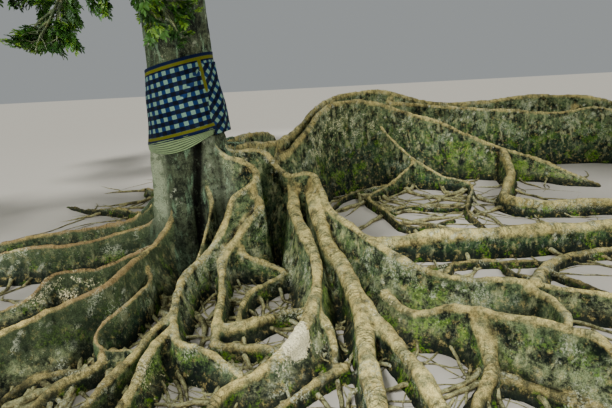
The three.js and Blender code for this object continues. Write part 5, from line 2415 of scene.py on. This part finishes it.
@dataclass(frozen=True)
class Studio:
    """The floor, the lights and the camera at the photo's viewing angle."""

    focal_px: float = 470.0
    width_px: float = 612.0
    sensor_mm: float = 36.0
    clip_end: float = 400.0
    eye: Triple = (1.46, -6.1, 2.3)
    dip: float = 15.35
    roll: float = 3.0
    floor_side: float = 160.0
    floor_drop: float = 0.002
    floor_colour: int = 0xA9A498
    sky_colour: int = 0xDDE3E4
    sky_strength: float = 0.42
    sun_power: float = 4.3
    sun_spread: float = 9.0
    sun_tilt: float = 34.0
    sun_bearing: float = -38.0
    lamps: tuple[Lamp, ...] = (
        Lamp("left_lamp", (-5.3, -6.0, 3.7), (0.0, -0.5, 0.4), 415, 2.5),
        Lamp("right_lamp", (7.0, -3.5, 4.6), (2.5, 0.5, 0.3), 330, 2.5),
        Lamp("front_lamp", (1.0, -7.5, 4.2), (1.0, -1.0, 0.4), 150, 2.0),
        Lamp("back_lamp", (3.0, 13.0, 5.5), (2.5, 4.0, 0.6), 420, 4.0),
    )

    def camera(self) -> None:
        """Makes the scene's camera."""
        lens = bpy.data.cameras.new("photo_camera")
        lens.sensor_width = self.sensor_mm
        lens.lens = self.sensor_mm * self.focal_px / self.width_px
        lens.clip_end = self.clip_end
        camera = placed("photo_camera", lens)
        turn = Matrix.Rotation(math.radians(90 - self.dip), 4, "X")
        roll = Matrix.Rotation(-math.radians(self.roll), 4, "Z")
        camera.matrix_world = Matrix.Translation(self.eye) @ turn @ roll
        bpy.context.scene.camera = camera

    def floor(self) -> None:
        """Makes the plain pale floor."""
        corners = np.array([[-1, -1, 0], [1, -1, 0], [1, 1, 0], [-1, 1, 0]]) * self.floor_side / 2
        corners[:, 2] -= self.floor_drop
        floor = placed("floor", mesh_of("floor", corners, np.array([[0, 1, 2, 3]])))
        floor.data.materials.append(ShaderGraph("pale_floor", self.floor_colour).finish(0.9, 0.5))
        floor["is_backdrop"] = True

    def light(self) -> None:
        """Makes the sky, a soft sun and the lamps under the crown."""
        world = bpy.data.worlds.new("pale_sky")
        bpy.context.scene.world = world
        world.use_nodes = True
        sky = world.node_tree.nodes["Background"]
        sky.inputs["Color"].default_value = rgb(self.sky_colour)
        sky.inputs["Strength"].default_value = self.sky_strength
        light = bpy.data.lights.new("soft_sun", "SUN")
        light.energy = self.sun_power
        light.angle = math.radians(self.sun_spread)
        sun = placed("soft_sun", light)
        sun.rotation_euler = (math.radians(self.sun_tilt), 0, math.radians(self.sun_bearing))
        for lamp in self.lamps:
            lamp.hang()


def main() -> None:
    """Builds the tree and its studio."""
    logging.basicConfig(level=logging.INFO, format="%(message)s")
    solid_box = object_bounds()
    studio = Studio()
    studio.camera()
    studio.floor()
    studio.light()
    trunk = Trunk()
    boughs = Boughs(trunk)
    trunk_finish = BarkFinish(
        "trunk_skin", wall=0x4C6048, tan=0x5C644A, dark=0x0F1410, pale=0x98BC94, rim=0x8A9C7C,
        moss_share=0.0
    )
    RootSystem(trunk).build(BarkFinish("root_skin"), trunk_finish, boughs.low_shell())
    Rootlets().build(BarkFinish("rootlet_skin", tan=0xB4AA74, wall=0xA4986A, dark=0x3E3A24, stain=0.25))
    WrappedCloth(trunk).build(CheckedCloth(), LiningCloth())
    limbs = boughs.build(BarkFinish("bough_skin"))
    Crown(trunk, limbs, np.array(solid_box)).build(BarkFinish("twig_skin"))


if __name__ == "__main__":
    main()
